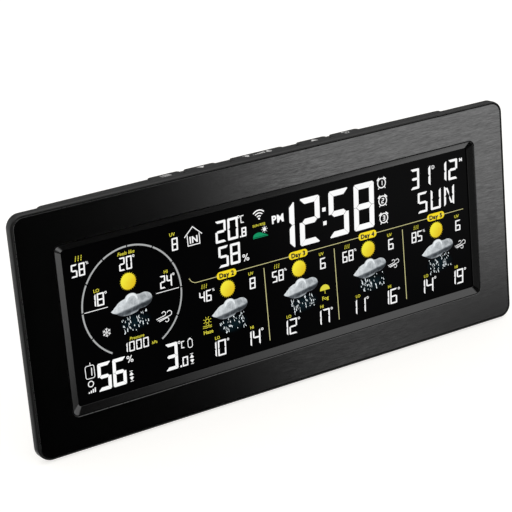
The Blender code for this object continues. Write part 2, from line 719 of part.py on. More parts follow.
def wall_openings(case):
    """Holes of the rear wall for the buttons, dimmer, power socket, buzzer, vents and coin cell."""
    inside, outside = CASE_INSIDE - 1.0, CASE_BACK + 1.0
    sensor_place = (CONTROL_ACROSS, SENSOR_BUTTON_UP)
    reset_place = (CONTROL_ACROSS, RESET_BUTTON_UP)
    slot_half_width = DIMMER_HALF_WIDTH + DIMMER_TRAVEL + GAP
    dimmer_place = (CONTROL_ACROSS, DIMMER_UP)
    slot = centred(slot_half_width, DIMMER_HALF_HEIGHT + GAP, 0.5, dimmer_place, 2)
    cut(
        case,
        rod("sensor_button_hole", SENSOR_BUTTON_RADIUS + GAP, inside, outside, sensor_place),
        rod("reset_button_hole", RESET_BUTTON_RADIUS + GAP, inside, outside, reset_place),
        slab("dimmer_slot", [slot], inside, outside),
        rod("jack_hole", JACK_RADIUS + GAP, inside, outside, JACK_PLACE, sides=24),
    )
    cut(case, rod("sound_hole", 0.8, inside, outside, BUZZER_PLACE, sides=8))
    for number in range(6):
        angle = math.radians(60 * number)
        across = BUZZER_PLACE[0] + SOUND_CIRCLE * math.cos(angle)
        up = BUZZER_PLACE[1] + SOUND_CIRCLE * math.sin(angle)
        cut(case, rod(f"sound_hole_{number}", 0.8, inside, outside, (across, up), sides=8))
    for number in range(5):
        up = VENT_PLACE[1] + VENT_PITCH * (number - 2)
        vent = centred(7.0, 0.7, 0.65, (VENT_PLACE[0], up), 2)
        cut(case, slab(f"vent_{number}", [vent], inside, outside))
    door_recess = (DOOR_END - 5.0, DOOR_END + DOOR_LENGTH + GAP)
    half_height = DOOR_HALF_HEIGHT + GAP
    up = (CELL_PLACE[1] - half_height, CELL_PLACE[1] + half_height)
    cut(case, brick("door_recess", door_recess, (CASE_BACK - 1.5, outside), up))
    cut(case, slab("cell_mouth", [centred(10.8, 10.8, 3.0, CELL_PLACE, 4)], inside, outside))


def battery_door():
    """Door that slides off sideways, with three grip ribs near its outer end."""
    across = (DOOR_END, DOOR_END + DOOR_LENGTH)
    up = (CELL_PLACE[1] - DOOR_HALF_HEIGHT, CELL_PLACE[1] + DOOR_HALF_HEIGHT)
    sheet = brick("battery_door", across, (CASE_BACK - 1.2, CASE_BACK), up)
    door = station_object("battery_door", sheet, BLACK_PLASTIC)
    for number in range(3):
        left = DOOR_END + 3.0 + 3.0 * number
        rib_deep = (CASE_BACK - 0.5, CASE_BACK + 0.4)
        rib_up = (up[0] + 7.0, up[1] - 7.0)
        join(door, brick(f"door_rib_{number}", (left, left + 1.2), rib_deep, rib_up))
    move_origin(door, (DOOR_END + DOOR_LENGTH / 2, CASE_BACK, CELL_PLACE[1]))


def case_screws():
    """Six screws, from wells in the rear case into the frame's bosses."""
    for number, place in enumerate(SCREW_PLACES, 1):
        name = f"case_screw_{number}"
        head = rod(name, 2.5, 8.5, 10.4, place, sides=16)
        screw = station_object(name, head, STEEL)
        join(screw, rod(f"{name}_shank", 1.3, 2.4, 9.0, place, sides=12))
        for part, across, up in (("slot", 0.4, 1.9), ("cross", 1.9, 0.4)):
            wide = (place[0] - across, place[0] + across)
            high = (place[1] - up, place[1] + up)
            cut(screw, brick(f"{name}_{part}", wide, (9.6, 11.0), high))


# Stand and feet


def table_stand():
    """Fold-out stand, level on the table at rest, with a barrel round a steel pin."""
    top = 0.2
    bottom = PAD_THICKNESS + GAP - HINGE_HEIGHT
    side = STAND_HALF_WIDTH
    outline = rounded(side, 0.0, STAND_REACH, 6.0, 5)
    sheet = slab("table_stand", [outline], bottom, top, "z")
    stand = station_object("table_stand", sheet, BLACK_PLASTIC, STAND_HINGE)
    join(stand, rod("stand_barrel", BARREL_RADIUS, -side, side, (0.0, 0.0), "x", 20))
    cut(stand, rod("pin_bore", PIN_RADIUS + GAP, -side - 1, side + 1, (0.0, 0.0), "x", 12))
    grip = centred(9.0, 3.0, 2.5, (0.0, STAND_REACH + 1.0), 4)
    cut(stand, slab("stand_grip", [grip], bottom - 1, top + 1, "z"))
    for name, across in (("stand_pad_left", -PAD_ACROSS), ("stand_pad_right", PAD_ACROSS)):
        outline = centred(8.0, 4.0, 2.0, (across, STAND_REACH - 8.0), 4)
        pad = slab(name, [outline], -HINGE_HEIGHT, PAD_THICKNESS - HINGE_HEIGHT, "z")
        station_object(name, pad, RUBBER, STAND_HINGE)
    pin_end = side + 0.5 + 1.0
    pin = rod("stand_pin", PIN_RADIUS, -pin_end, pin_end, (HINGE_DEPTH, HINGE_UP), "x", 12)
    station_object("stand_pin", pin, STEEL)


def front_feet():
    """Two rubber wedges under the case, with level soles."""

    def sole(deep):
        return (deep * math.sin(LEAN) - FACE_HEIGHT) / math.cos(LEAN)

    top = CASE_LOW - GAP
    section = (
        (FOOT_FRONT, sole(FOOT_FRONT)),
        (FOOT_BACK, sole(FOOT_BACK)),
        (FOOT_BACK, top),
        (FOOT_FRONT, top),
    )
    for name, across in (("front_foot_left", -FOOT_ACROSS), ("front_foot_right", FOOT_ACROSS)):
        left, right = across - FOOT_HALF_WIDTH, across + FOOT_HALF_WIDTH
        station_object(name, slab(name, [section], left, right, "x"), RUBBER)


clear_scene()
STATION = new_collection("home_weather_station")
CUTTERS = new_collection("cutters")
CUTTERS.hide_render = True
CONSOLE = new_empty("console", (0.0, FACE_BEHIND, FACE_HEIGHT), -LEAN)
STAND_HINGE = new_empty("stand_hinge", (0.0, FACE_BEHIND + HINGE_BEHIND, HINGE_HEIGHT))

front_frame()
face_plate()
display_bezel()
display_layers()
display_carrier()
flex_cables()
boards_and_chips()
receiver_antenna()
dc_jack()
backup_cell()
top_keys()
rear_buttons()
dimmer()
rear_case()
battery_door()
case_screws()
table_stand()
front_feet()
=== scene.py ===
import json
import math
import random

import bmesh
import bpy
from mathutils import Matrix, Vector


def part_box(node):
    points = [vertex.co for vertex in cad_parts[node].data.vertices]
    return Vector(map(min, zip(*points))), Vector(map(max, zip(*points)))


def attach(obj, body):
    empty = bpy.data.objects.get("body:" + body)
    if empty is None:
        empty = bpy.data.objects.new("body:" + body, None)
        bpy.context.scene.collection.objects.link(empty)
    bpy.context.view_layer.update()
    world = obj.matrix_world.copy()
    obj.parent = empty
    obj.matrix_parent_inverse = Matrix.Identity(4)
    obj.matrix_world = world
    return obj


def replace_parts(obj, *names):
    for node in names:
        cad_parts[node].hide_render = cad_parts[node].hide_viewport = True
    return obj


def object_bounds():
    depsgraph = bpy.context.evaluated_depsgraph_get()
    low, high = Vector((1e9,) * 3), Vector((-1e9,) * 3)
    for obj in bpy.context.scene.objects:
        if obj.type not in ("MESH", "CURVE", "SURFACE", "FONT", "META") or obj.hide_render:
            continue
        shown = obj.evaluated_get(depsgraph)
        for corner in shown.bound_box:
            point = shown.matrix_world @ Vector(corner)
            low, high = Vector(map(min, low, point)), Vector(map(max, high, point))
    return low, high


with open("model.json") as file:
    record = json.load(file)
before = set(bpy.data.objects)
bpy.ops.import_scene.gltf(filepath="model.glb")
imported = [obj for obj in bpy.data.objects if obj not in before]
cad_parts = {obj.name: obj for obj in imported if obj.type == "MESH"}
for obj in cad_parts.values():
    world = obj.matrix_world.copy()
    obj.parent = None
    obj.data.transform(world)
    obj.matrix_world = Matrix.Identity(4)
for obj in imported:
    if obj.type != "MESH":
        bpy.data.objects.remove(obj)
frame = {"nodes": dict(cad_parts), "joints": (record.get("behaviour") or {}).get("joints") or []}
cad_box = [list(corner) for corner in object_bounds()]


# --- Camera ---------------------------------------------------------------------------------------
# A long lens in front of the console's left half and above it, as for a product picture. The
# console's own axes come from its top keys, which slide straight down, and from the front frame.

MM = 0.001
key_slide = next(joint for joint in frame["joints"] if joint["name"] == "menu_key_press")
ACROSS = Vector((1.0, 0.0, 0.0))
UP = -Vector(key_slide["axis"]).normalized()
INTO = UP.cross(ACROSS)
lean = Matrix((ACROSS, INTO, UP)).transposed()
front_points = [lean.transposed() @ vertex.co for vertex in frame["nodes"]["front_frame"].data.vertices]
front_low = Vector([min(point[axis] for point in front_points) for axis in range(3)])
front_high = Vector([max(point[axis] for point in front_points) for axis in range(3)])
middle = (front_low + front_high) / 2
FACE_CENTRE = lean @ Vector((middle.x, front_low.y, middle.z))
# From millimetres across, into the depth and up, zero at the middle of the face, to the world.
CONSOLE = Matrix.Translation(FACE_CENTRE) @ lean.to_4x4()

camera_data = bpy.data.cameras.new("camera")
camera_data.lens = 128.4
camera_data.sensor_width = 36.0
camera = bpy.data.objects.new("camera", camera_data)
camera.location = FACE_CENTRE + Vector((-454.1, -661.7, 372.3)) * MM
camera.rotation_euler = (math.radians(65.577), 0.0, math.radians(-33.47))
bpy.context.scene.collection.objects.link(camera)
bpy.context.scene.camera = camera
bpy.context.scene.view_settings.view_transform = "Standard"


# --- Floor ----------------------------------------------------------------------------------------
# Translucent white shooting table, lit a little from below, so only a faint contact shadow is left.
# Polished pieces don't mirror it: they show the soft boxes of the light section instead.


def add_node(tree, kind, inputs=(), **settings):
    """A shader node with its settings; inputs is {socket: value or another node's output}."""
    node = tree.nodes.new(kind)
    for name, value in settings.items():
        setattr(node, name, value)
    for socket, value in dict(inputs).items():
        if isinstance(value, bpy.types.NodeSocket):
            tree.links.new(value, node.inputs[socket])
        else:
            node.inputs[socket].default_value = value
    return node


def calc(tree, operation, *values):
    """The output of one Math node."""
    return add_node(tree, "ShaderNodeMath", dict(enumerate(values)), operation=operation).outputs[0]


def new_material(name, **constants):
    """A material, its node tree and its Principled shader, with the given sockets set."""
    material = bpy.data.materials.new(name)
    material.use_nodes = True
    tree = material.node_tree
    shader = tree.nodes["Principled BSDF"]
    for socket, value in constants.items():
        shader.inputs[socket.replace("_", " ")].default_value = value
    return material, tree, shader


def feed(shader, **sources):
    """Links colours, masks and values that change over the surface to the shader's sockets."""
    for socket, source in sources.items():
        shader.id_data.links.new(source, shader.inputs[socket.replace("_", " ")])


def ranged(tree, value, low, high, first, last, **settings):
    """A value that runs from low to high, turned into one that runs from first to last."""
    span = {0: value, 1: low, 2: high, 3: first, 4: last}
    return add_node(tree, "ShaderNodeMapRange", span, **settings).outputs[0]


def blended(tree, share, first, second, blend="MIX"):
    """Two colours in one, mixed by a share or multiplied."""
    pair = {0: share, 6: first, 7: second}
    return add_node(tree, "ShaderNodeMix", pair, data_type="RGBA", blend_type=blend).outputs[2]


TABLE_HALF = 3.0
table_white, tree, shader = new_material("table_white", Roughness=0.9, Specular_IOR_Level=0.0,
                                         Emission_Color=(0.997, 0.985, 0.96, 1.0), Emission_Strength=0.72)
cloudy = add_node(tree, "ShaderNodeTexNoise", {"Scale": 2.0}).outputs[0]
tone = ranged(tree, cloudy, 0.0, 1.0, 0.985, 1.0)
feed(shader, Base_Color=blended(tree, 1.0, (0.42, 0.42, 0.42, 1.0), tone, "MULTIPLY"))

bm = bmesh.new()
bmesh.ops.create_grid(bm, x_segments=8, y_segments=8, size=TABLE_HALF)
table_mesh = bpy.data.meshes.new("shooting_table")
bm.to_mesh(table_mesh)
bm.free()
table_mesh.materials.append(table_white)
shooting_table = bpy.data.objects.new("shooting_table", table_mesh)
shooting_table.location.z = cad_box[0][2]
shooting_table.visible_glossy = False
bpy.context.scene.collection.objects.link(shooting_table)


# --- Light ----------------------------------------------------------------------------------------
# A white tent all round, and soft boxes that only the glossy surfaces see: one on the right for the
# brushed plate, one overhead, small ones low down for the bezel's slopes, and dimmer ones at the
# front left, at the side and behind, for the frame and the case.

soft_box = bpy.data.node_groups.new("soft_box", "ShaderNodeTree")
for name, kind in (("Direction", "NodeSocketVector"), ("Facing", "NodeSocketVector"),
                   ("Side", "NodeSocketVector"), ("Rise", "NodeSocketVector"),
                   ("Half Width", "NodeSocketFloat"), ("Half Height", "NodeSocketFloat"),
                   ("Side Softness", "NodeSocketFloat"), ("Rise Softness", "NodeSocketFloat")):
    soft_box.interface.new_socket(name, in_out="INPUT", socket_type=kind)
soft_box.interface.new_socket("Light", in_out="OUTPUT", socket_type="NodeSocketFloat")
entry = soft_box.nodes.new("NodeGroupInput").outputs
SIDEWAYS = 0.01  # below this a direction is taken to point past the box


def along(axis):
    """How far the looked-at direction goes along one of the box's axes."""
    return add_node(soft_box, "ShaderNodeVectorMath", {0: entry["Direction"], 1: entry[axis]},
                    operation="DOT_PRODUCT").outputs["Value"]


ahead = along("Facing")
panel = calc(soft_box, "GREATER_THAN", ahead, SIDEWAYS)
ahead = calc(soft_box, "MAXIMUM", ahead, SIDEWAYS)
for axis, half, softness in (("Side", "Half Width", "Side Softness"),
                             ("Rise", "Half Height", "Rise Softness")):
    offset = calc(soft_box, "ABSOLUTE", calc(soft_box, "DIVIDE", along(axis), ahead))
    inside = calc(soft_box, "DIVIDE", calc(soft_box, "SUBTRACT", entry[half], offset), entry[softness])
    edge = ranged(soft_box, inside, -0.5, 0.5, 0.0, 1.0, interpolation_type="SMOOTHSTEP")
    panel = calc(soft_box, "MULTIPLY", panel, edge)
soft_box.links.new(panel, soft_box.nodes.new("NodeGroupOutput").inputs["Light"])

# Azimuth from straight ahead of the console to its right, elevation, half width and half height and
# their soft edges (as tangents seen from the console), and strength.
SOFT_BOXES = (
    ("front_right", 55.0, 8.0, 0.458, 0.348, 0.075, 0.11, 1.55),
    ("overhead", 60.0, 84.0, 0.8, 0.8, 0.5, 0.5, 0.9),
    ("front_sill", 33.6, -13.6, 0.045, 0.025, 0.035, 0.04, 0.55),
    ("side_sill", 53.0, -12.0, 0.12, 0.05, 0.06, 0.035, 1.0),
    ("low_right", 57.0, -34.0, 0.2, 0.2, 0.08, 0.1, 2.2),
    ("front_card", 6.0, -7.0, 0.13, 0.16, 0.1, 0.14, 0.14),
    ("back_right", 148.0, 12.0, 0.5, 0.35, 0.3, 0.3, 0.18),
    ("back_left", 206.0, -5.0, 0.5, 0.4, 0.3, 0.12, 0.65),
    ("back_low", 152.0, -34.0, 0.7, 0.42, 0.25, 0.2, 1.4),
    ("back_high", 180.0, 48.0, 0.9, 0.4, 0.4, 0.3, 0.8),
    ("front_left", -62.0, 10.0, 0.4, 0.5, 0.3, 0.3, 0.8),
    ("front_wide", -16.0, 9.0, 0.27, 0.4, 0.16, 0.3, 0.3),
    ("side_right", 108.0, 6.0, 0.24, 0.5, 0.1, 0.3, 0.7),
)
TENT_STRENGTH = 1.0
BACKGROUND = (0.991, 0.982, 0.956, 1.0)
ROOM_DARKNESS = 0.002
world = bpy.data.worlds.new("studio")
world.use_nodes = True
world.cycles.sampling_method = "NONE"
bpy.context.scene.world = world
tree = world.node_tree
direction = add_node(tree, "ShaderNodeTexCoord").outputs["Generated"]
reflected = ROOM_DARKNESS
for name, azimuth, elevation, half_width, half_height, side_soft, rise_soft, strength in SOFT_BOXES:
    turn, rise = math.radians(azimuth), math.radians(elevation)
    facing = Vector((math.sin(turn) * math.cos(rise), -math.cos(turn) * math.cos(rise), math.sin(rise)))
    side = facing.cross((0.0, 0.0, 1.0)).normalized()
    box = add_node(tree, "ShaderNodeGroup", node_tree=soft_box, name=name)
    tree.links.new(direction, box.inputs["Direction"])
    box.inputs["Facing"].default_value = facing
    box.inputs["Side"].default_value = side
    box.inputs["Rise"].default_value = side.cross(facing)
    for socket, value in (("Half Width", half_width), ("Half Height", half_height),
                          ("Side Softness", side_soft), ("Rise Softness", rise_soft)):
        box.inputs[socket].default_value = value
    reflected = calc(tree, "MULTIPLY_ADD", box.outputs["Light"], strength, reflected)
rays = add_node(tree, "ShaderNodeLightPath").outputs
tent = add_node(tree, "ShaderNodeBackground", {"Color": BACKGROUND, "Strength": TENT_STRENGTH})
boxes = add_node(tree, "ShaderNodeBackground", {"Strength": reflected})
studio = add_node(tree, "ShaderNodeMixShader",
                  {0: rays["Is Glossy Ray"], 1: tent.outputs[0], 2: boxes.outputs[0]})
tree.links.new(studio.outputs[0], tree.nodes["World Output"].inputs["Surface"])


# --- Front frame ----------------------------------------------------------------------------------
# Moulded black plastic band round the front, with a back wall that carries six screw bosses. The
# plate drops into it from the front; its nose slopes in a little and its edges are eased.


def arc(centre, radius, start, end, steps=24):
    """Points on a circle between two angles in degrees."""
    angles = [math.radians(start + (end - start) * step / steps) for step in range(steps + 1)]
    return [(centre[0] + radius * math.cos(angle), centre[1] + radius * math.sin(angle)) for angle in angles]


def circle(centre, radius, steps):
    """Points round a whole circle."""
    return arc(centre, radius, 0, 360, steps)[:-1]


def rounded(half_width, low, high, radius, steps=14):
    """Points of a rectangle with round corners, anticlockwise from its lower right."""
    right, bottom, top = half_width - radius, low + radius, high - radius
    corners = ((right, bottom, -90), (right, top, 0), (-right, top, 90), (-right, bottom, 180))
    return [point for x, y, start in corners for point in arc((x, y), radius, start, start + 90, steps)]


def ring_at(outline, depth):
    """An outline in (across, up), set at a depth behind the face."""
    return [(across, depth, up) for across, up in outline]


def add_loft(bm, rings, closed=False):
    """Skins rings of equal count; closed joins the last to the first, otherwise both ends are capped."""
    loops = [[bm.verts.new(Vector(point) * MM) for point in ring] for ring in rings]
    pairs = list(zip(loops, loops[1:]))
    if closed:
        pairs.append((loops[-1], loops[0]))
    else:
        bm.faces.new(loops[0])
        bm.faces.new(loops[-1])
    for ring, following in pairs:
        for i in range(len(ring)):
            bm.faces.new((ring[i - 1], ring[i], following[i], following[i - 1]))
    return loops


def mesh_from(bm, name, material):
    """A mesh of one material with its normals out; the drawing it came from is let go."""
    bmesh.ops.recalc_face_normals(bm, faces=bm.faces)
    mesh = bpy.data.meshes.new(name)
    bm.to_mesh(mesh)
    bm.free()
    mesh.materials.append(material)
    return mesh


def place_piece(mesh, name, body, matrix):
    """Puts the piece in its place, on its body."""
    piece = bpy.data.objects.new(name, mesh)
    bpy.context.scene.collection.objects.link(piece)
    piece.matrix_world = matrix
    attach(piece, body)
    return piece


def piece_from(bm, name, material, body, matrix=CONSOLE, crease=32.0):
    """A piece that is smooth but for its sharp edges."""
    mesh = mesh_from(bm, name, material)
    mesh.shade_smooth()
    mesh.set_sharp_from_angle(angle=math.radians(crease))
    return place_piece(mesh, name, body, matrix)


def on_surface(tree):
    """A place on the piece, in its own coordinates."""
    return add_node(tree, "ShaderNodeTexCoord").outputs["Object"]


def noise(tree, at, scale, detail=2.0, distortion=0.0):
    """A cloudy value that changes over the surface."""
    return add_node(tree, "ShaderNodeTexNoise",
                    {"Vector": at, "Scale": scale, "Detail": detail, "Distortion": distortion}).outputs[0]


def grey(tree, level):
    """A colour with one level in all three channels."""
    return add_node(tree, "ShaderNodeCombineColor", {0: level, 1: level, 2: level}).outputs[0]


# Spark-eroded grain of a moulding tool: fine pits, with slow changes of gloss over the piece.
moulded_grain = bpy.data.node_groups.new("moulded_grain", "ShaderNodeTree")
for name, value in (("Pit Scale", 2600.0), ("Gloss", 0.42), ("Gloss Change", 0.08), ("Shade", 0.012)):
    socket = moulded_grain.interface.new_socket(name, in_out="INPUT", socket_type="NodeSocketFloat")
    socket.default_value = value
for name, kind in (("Colour", "NodeSocketColor"), ("Roughness", "NodeSocketFloat"),
                   ("Height", "NodeSocketFloat")):
    moulded_grain.interface.new_socket(name, in_out="OUTPUT", socket_type=kind)
entry = moulded_grain.nodes.new("NodeGroupInput").outputs
leaving = moulded_grain.nodes.new("NodeGroupOutput").inputs
at = on_surface(moulded_grain)
pits = noise(moulded_grain, at, entry["Pit Scale"])
sway = calc(moulded_grain, "SUBTRACT", noise(moulded_grain, at, 38.0, 3.0), 0.5)
gloss = calc(moulded_grain, "MULTIPLY_ADD", sway, entry["Gloss Change"], entry["Gloss"])
speck = calc(moulded_grain, "MULTIPLY_ADD", pits, 0.7, 0.65)
speck = calc(moulded_grain, "MULTIPLY", calc(moulded_grain, "MULTIPLY_ADD", sway, 0.5, 1.0), speck)
colour = grey(moulded_grain, calc(moulded_grain, "MULTIPLY", entry["Shade"], speck))
for name, source in (("Colour", colour), ("Roughness", gloss), ("Height", pits)):
    moulded_grain.links.new(source, leaving[name])


def moulded(name, shade, gloss, tint=(1.0, 1.0, 1.0), pit=0.00003, pit_scale=2600.0, gloss_change=0.08,
            **constants):
    """Moulded plastic of one shade, its grain pressed in by that many metres."""
    material, tree, shader = new_material(name, **constants)
    grain = add_node(tree, "ShaderNodeGroup", node_tree=moulded_grain)
    for socket, value in (("Pit Scale", pit_scale), ("Gloss", gloss), ("Gloss Change", gloss_change),
                          ("Shade", shade)):
        grain.inputs[socket].default_value = value
    grain = grain.outputs
    bump = add_node(tree, "ShaderNodeBump", {"Height": grain["Height"], "Distance": pit, "Strength": 0.6})
    feed(shader, Base_Color=blended(tree, 1.0, grain["Colour"], (*tint, 1.0), "MULTIPLY"),
         Roughness=grain["Roughness"], Normal=bump.outputs[0])
    return material


case_black = moulded("case_black", 0.006, 0.38)
FACE_HALF_WIDTH = (front_high.x - front_low.x) / 2 / MM
FACE_HALF_HEIGHT = (front_high.z - front_low.z) / 2 / MM
FRAME_DEPTH = (front_high.y - front_low.y) / MM
FACE_CORNER = 6.5
REAR_WINDOW = (114.9, 44.0, 3.0)  # half width, half height, corner
BOSS_OUTSIDE, BOSS_BORE = 3.0, 1.6
PLATE_SEAT = 1.55


def face_outline(inset):
    half_height = FACE_HALF_HEIGHT - inset
    return rounded(FACE_HALF_WIDTH - inset, -half_height, half_height, max(FACE_CORNER - inset, 0.5))


def add_tube(bm, centre, outside, bore, front, back, sides=28, ease=0.12):
    """A round tube along the depth, with eased rims."""
    profile = ((bore, front + ease), (bore + ease, front), (outside - ease, front), (outside, front + ease),
               (outside, back), (bore, back))
    add_loft(bm, [ring_at(circle(centre, radius, sides), depth) for radius, depth in profile], closed=True)


bm = bmesh.new()
window_width, window_height, window_corner = REAR_WINDOW
window = rounded(window_width, -window_height, window_height, window_corner)
band = [(0.9, 0.14), (0.84, 0.03), (0.74, 0.0), (0.4, 0.0), (0.28, 0.03), (0.2, 0.13), (0.02, 1.1),
        (0.0, 1.3), (0.0, FRAME_DEPTH - 0.5), (0.05, FRAME_DEPTH - 0.26), (0.18, FRAME_DEPTH - 0.08),
        (0.4, FRAME_DEPTH)]
rings = [ring_at(face_outline(inset), depth) for inset, depth in band]
rings += [ring_at(window, FRAME_DEPTH), ring_at(window, FRAME_DEPTH - 1.2)]
rings += [ring_at(face_outline(inset), depth) for inset, depth in
          ((7.0, FRAME_DEPTH - 1.2), (7.0, PLATE_SEAT), (0.9, PLATE_SEAT))]
add_loft(bm, rings, closed=True)
SCREW_NODES = [name for name in sorted(frame["nodes"]) if name.startswith("case_screw_")]


def console_box(node):
    """(lowest, highest) corner of a node along the console's own axes, in millimetres."""
    home = CONSOLE.inverted()
    points = [home @ vertex.co for vertex in frame["nodes"][node].data.vertices]
    return [Vector([choose(point[axis] for point in points) for axis in range(3)]) / MM
            for choose in (min, max)]


def console_middle(node):
    """A node's middle, as (across, up)."""
    low, high = console_box(node)
    return (low.x + high.x) / 2, (low.z + high.z) / 2


for node in SCREW_NODES:
    add_tube(bm, console_middle(node), BOSS_OUTSIDE, BOSS_BORE, 1.9, FRAME_DEPTH - 1.3)
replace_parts(piece_from(bm, "front_frame_band", case_black, "console"), "front_frame")


# --- Face plate -----------------------------------------------------------------------------------
# Sheet of brushed black anodised aluminium, dropped into the frame. Brushed from end to end, with
# its outer edge and the edge of its opening cut bright.

brushed = bpy.data.node_groups.new("brushed", "ShaderNodeTree")
for name in ("Value", "Height"):
    brushed.interface.new_socket(name, in_out="OUTPUT", socket_type="NodeSocketFloat")
leaving = brushed.nodes.new("NodeGroupOutput").inputs
at = on_surface(brushed)
hairs = []
for length_scale, width_scale, detail in ((150.0, 1800.0, 3.0), (420.0, 3600.0, 2.0), (36.0, 460.0, 2.0)):
    stretched = add_node(brushed, "ShaderNodeMapping",
                         {"Vector": at, "Scale": (length_scale, width_scale, width_scale)})
    hairs.append(noise(brushed, stretched.outputs[0], 1.0, detail))
blend = calc(brushed, "MULTIPLY_ADD", hairs[0], 0.5, calc(brushed, "MULTIPLY", hairs[1], 0.3))
brushed.links.new(calc(brushed, "MULTIPLY_ADD", hairs[2], 0.2, blend), leaving["Value"])
brushed.links.new(calc(brushed, "ADD", hairs[0], hairs[1]), leaving["Height"])
STREAKS_FROM, STREAKS_TO = 0.36, 0.64  # the span of the streaks' values that shows

brushed_black, tree, shader = new_material("brushed_black", Metallic=1.0)
streaks = add_node(tree, "ShaderNodeGroup", node_tree=brushed).outputs
bump = add_node(tree, "ShaderNodeBump", {"Height": streaks["Height"], "Distance": 0.00001, "Strength": 0.6})
feed(shader, Base_Color=grey(tree, ranged(tree, streaks["Value"], STREAKS_FROM, STREAKS_TO, 0.085, 0.16)),
     Roughness=ranged(tree, streaks["Value"], STREAKS_FROM, STREAKS_TO, 0.16, 0.1), Normal=bump.outputs[0])

cut_edge, tree, shader = new_material("cut_edge", Metallic=1.0)
cutter_marks = noise(tree, on_surface(tree), 900.0)
feed(shader, Base_Color=grey(tree, ranged(tree, cutter_marks, 0.0, 1.0, 0.09, 0.17)),
     Roughness=ranged(tree, cutter_marks, 0.0, 1.0, 0.22, 0.36))

PLATE_INSET = 1.2
PLATE_FRONT, PLATE_BACK = 0.05, 1.25
OPENING = (120.7, -41.6, 40.9, 3.3)  # half width, low, high, corner


def opening_outline(inset):
    half_width, low, high, corner = OPENING
    return rounded(half_width - inset, low + inset, high - inset, corner - inset)


bm = bmesh.new()
outer_edge = [(PLATE_INSET, PLATE_BACK), (PLATE_INSET, 0.26), (PLATE_INSET + 0.2, PLATE_FRONT)]
inner_edge = [(-0.24, PLATE_FRONT), (0.0, 0.3), (0.0, PLATE_BACK)]
loops = add_loft(bm, [ring_at(face_outline(inset), depth) for inset, depth in outer_edge]
                 + [ring_at(opening_outline(inset), depth) for inset, depth in inner_edge], closed=True)
bright_loops = set(loops[1] + loops[2]), set(loops[3] + loops[4])
for face in bm.faces:
    if any(loop.issuperset(face.verts) for loop in bright_loops):
        face.material_index = 1
plate = piece_from(bm, "brushed_plate", brushed_black, "console", crease=20.0)
plate.data.materials.append(cut_edge)
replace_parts(plate, "face_plate")


# --- Display bezel --------------------------------------------------------------------------------
# Gloss black surround moulded in one piece. Its slopes run from the plate's opening down to the
# glass, which sits in a seat behind its inner edge.

bezel_black = moulded("bezel_black", 0.002, 0.14, pit=0.000004, pit_scale=1800.0, gloss_change=0.06,
                      Specular_IOR_Level=0.8)
SIGHT = (116.9, -37.5, 37.5, 1.5)
SILL = 1.3
BEZEL_BACK = 3.0
glass_low, glass_high = console_box("lcd_rear_glass")


def sight_outline(inset):
    half_width, low, high, corner = SIGHT
    return rounded(half_width - inset, low + inset, high - inset, corner - inset)


seat = rounded(glass_high.x + 0.3, glass_low.z - 0.3, glass_high.z + 0.3, 0.6)
bm = bmesh.new()
rings = [ring_at(opening_outline(inset), depth) for inset, depth in
         ((-3.4, BEZEL_BACK), (-3.4, PLATE_SEAT), (0.3, PLATE_SEAT), (0.3, 0.38), (0.36, 0.31), (0.45, 0.3))]
rings += [ring_at(opening_outline(0.56), 0.33)]
rings += [ring_at(sight_outline(inset), depth) for inset, depth in
          ((-0.2, SILL - 0.05), (-0.06, SILL - 0.01), (0.0, SILL + 0.06), (0.0, SILL + 0.35))]
rings += [ring_at(seat, SILL + 0.35), ring_at(seat, BEZEL_BACK)]
add_loft(bm, rings, closed=True)
sloped_bezel = piece_from(bm, "sloped_bezel", bezel_black, "console", crease=24.0)
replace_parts(sloped_bezel, "display_bezel")


# --- Display window -------------------------------------------------------------------------------
# Negative display: the front polariser looks black, and the lit segments shine through it. The
# sheet and its glasses are the carried solids; their surface has faint smears from handling.

display_black, tree, shader = new_material("display_black", Base_Color=(0.0012, 0.0012, 0.0014, 1.0),
                                           Specular_IOR_Level=0.03)
smears = noise(tree, on_surface(tree), 22.0, 5.0, 0.6)
feed(shader, Roughness=ranged(tree, smears, 0.4, 0.7, 0.07, 0.16))


def finish_node(node, material):
    """Gives a carried solid its material."""
    solid = frame["nodes"][node]
    solid.data.materials.clear()
    solid.data.materials.append(material)


for node in ("front_polariser", "lcd_front_glass", "lcd_rear_glass"):
    finish_node(node, display_black)


# --- Lit segments ---------------------------------------------------------------------------------
# Clear windows in the black display, with a colour film and the backlight behind them. Made as thin
# glowing plates just ahead of the polariser, one set for each field of the display and each colour.

LIT_DEPTH = 1.84
LIT_THICKNESS = 0.06


def backlit(name, **constants):
    """Film that only glows, in the colours fed to its Emission Color."""
    film = {"Base_Color": (0.0, 0.0, 0.0, 1.0), "Roughness": 0.12, "Specular_IOR_Level": 0.03,
            "Emission_Strength": 1.0}
    return new_material(name, **{**film, **constants})


def lit(name, colour, uneven=0.06):
    """Backlit film of one colour, with the slight unevenness of a side-lit light guide."""
    material, tree, shader = backlit(name)
    level = ranged(tree, noise(tree, on_surface(tree), 30.0), 0.3, 0.7, 1.0 - uneven, 1.0)
    feed(shader, Emission_Color=blended(tree, 1.0, (*colour, 1.0), level, "MULTIPLY"))
    return material


LIT = {
    "white": lit("lit_white", (1.0, 1.0, 1.0)),
    "yellow": lit("lit_yellow", (0.93, 0.72, 0.018)),
    "label": lit("lit_label", (0.74, 0.68, 0.06)),
    "line": lit("lit_line", (0.66, 0.62, 0.3)),
    "grey": lit("lit_grey", (0.42, 0.43, 0.43)),
    "green": lit("lit_green", (0.008, 0.29, 0.12)),
}


def draw_face(bm, outline):
    """A filled outline in (across, up)."""
    bm.faces.new([bm.verts.new((across * MM, LIT_DEPTH * MM, up * MM)) for across, up in outline])


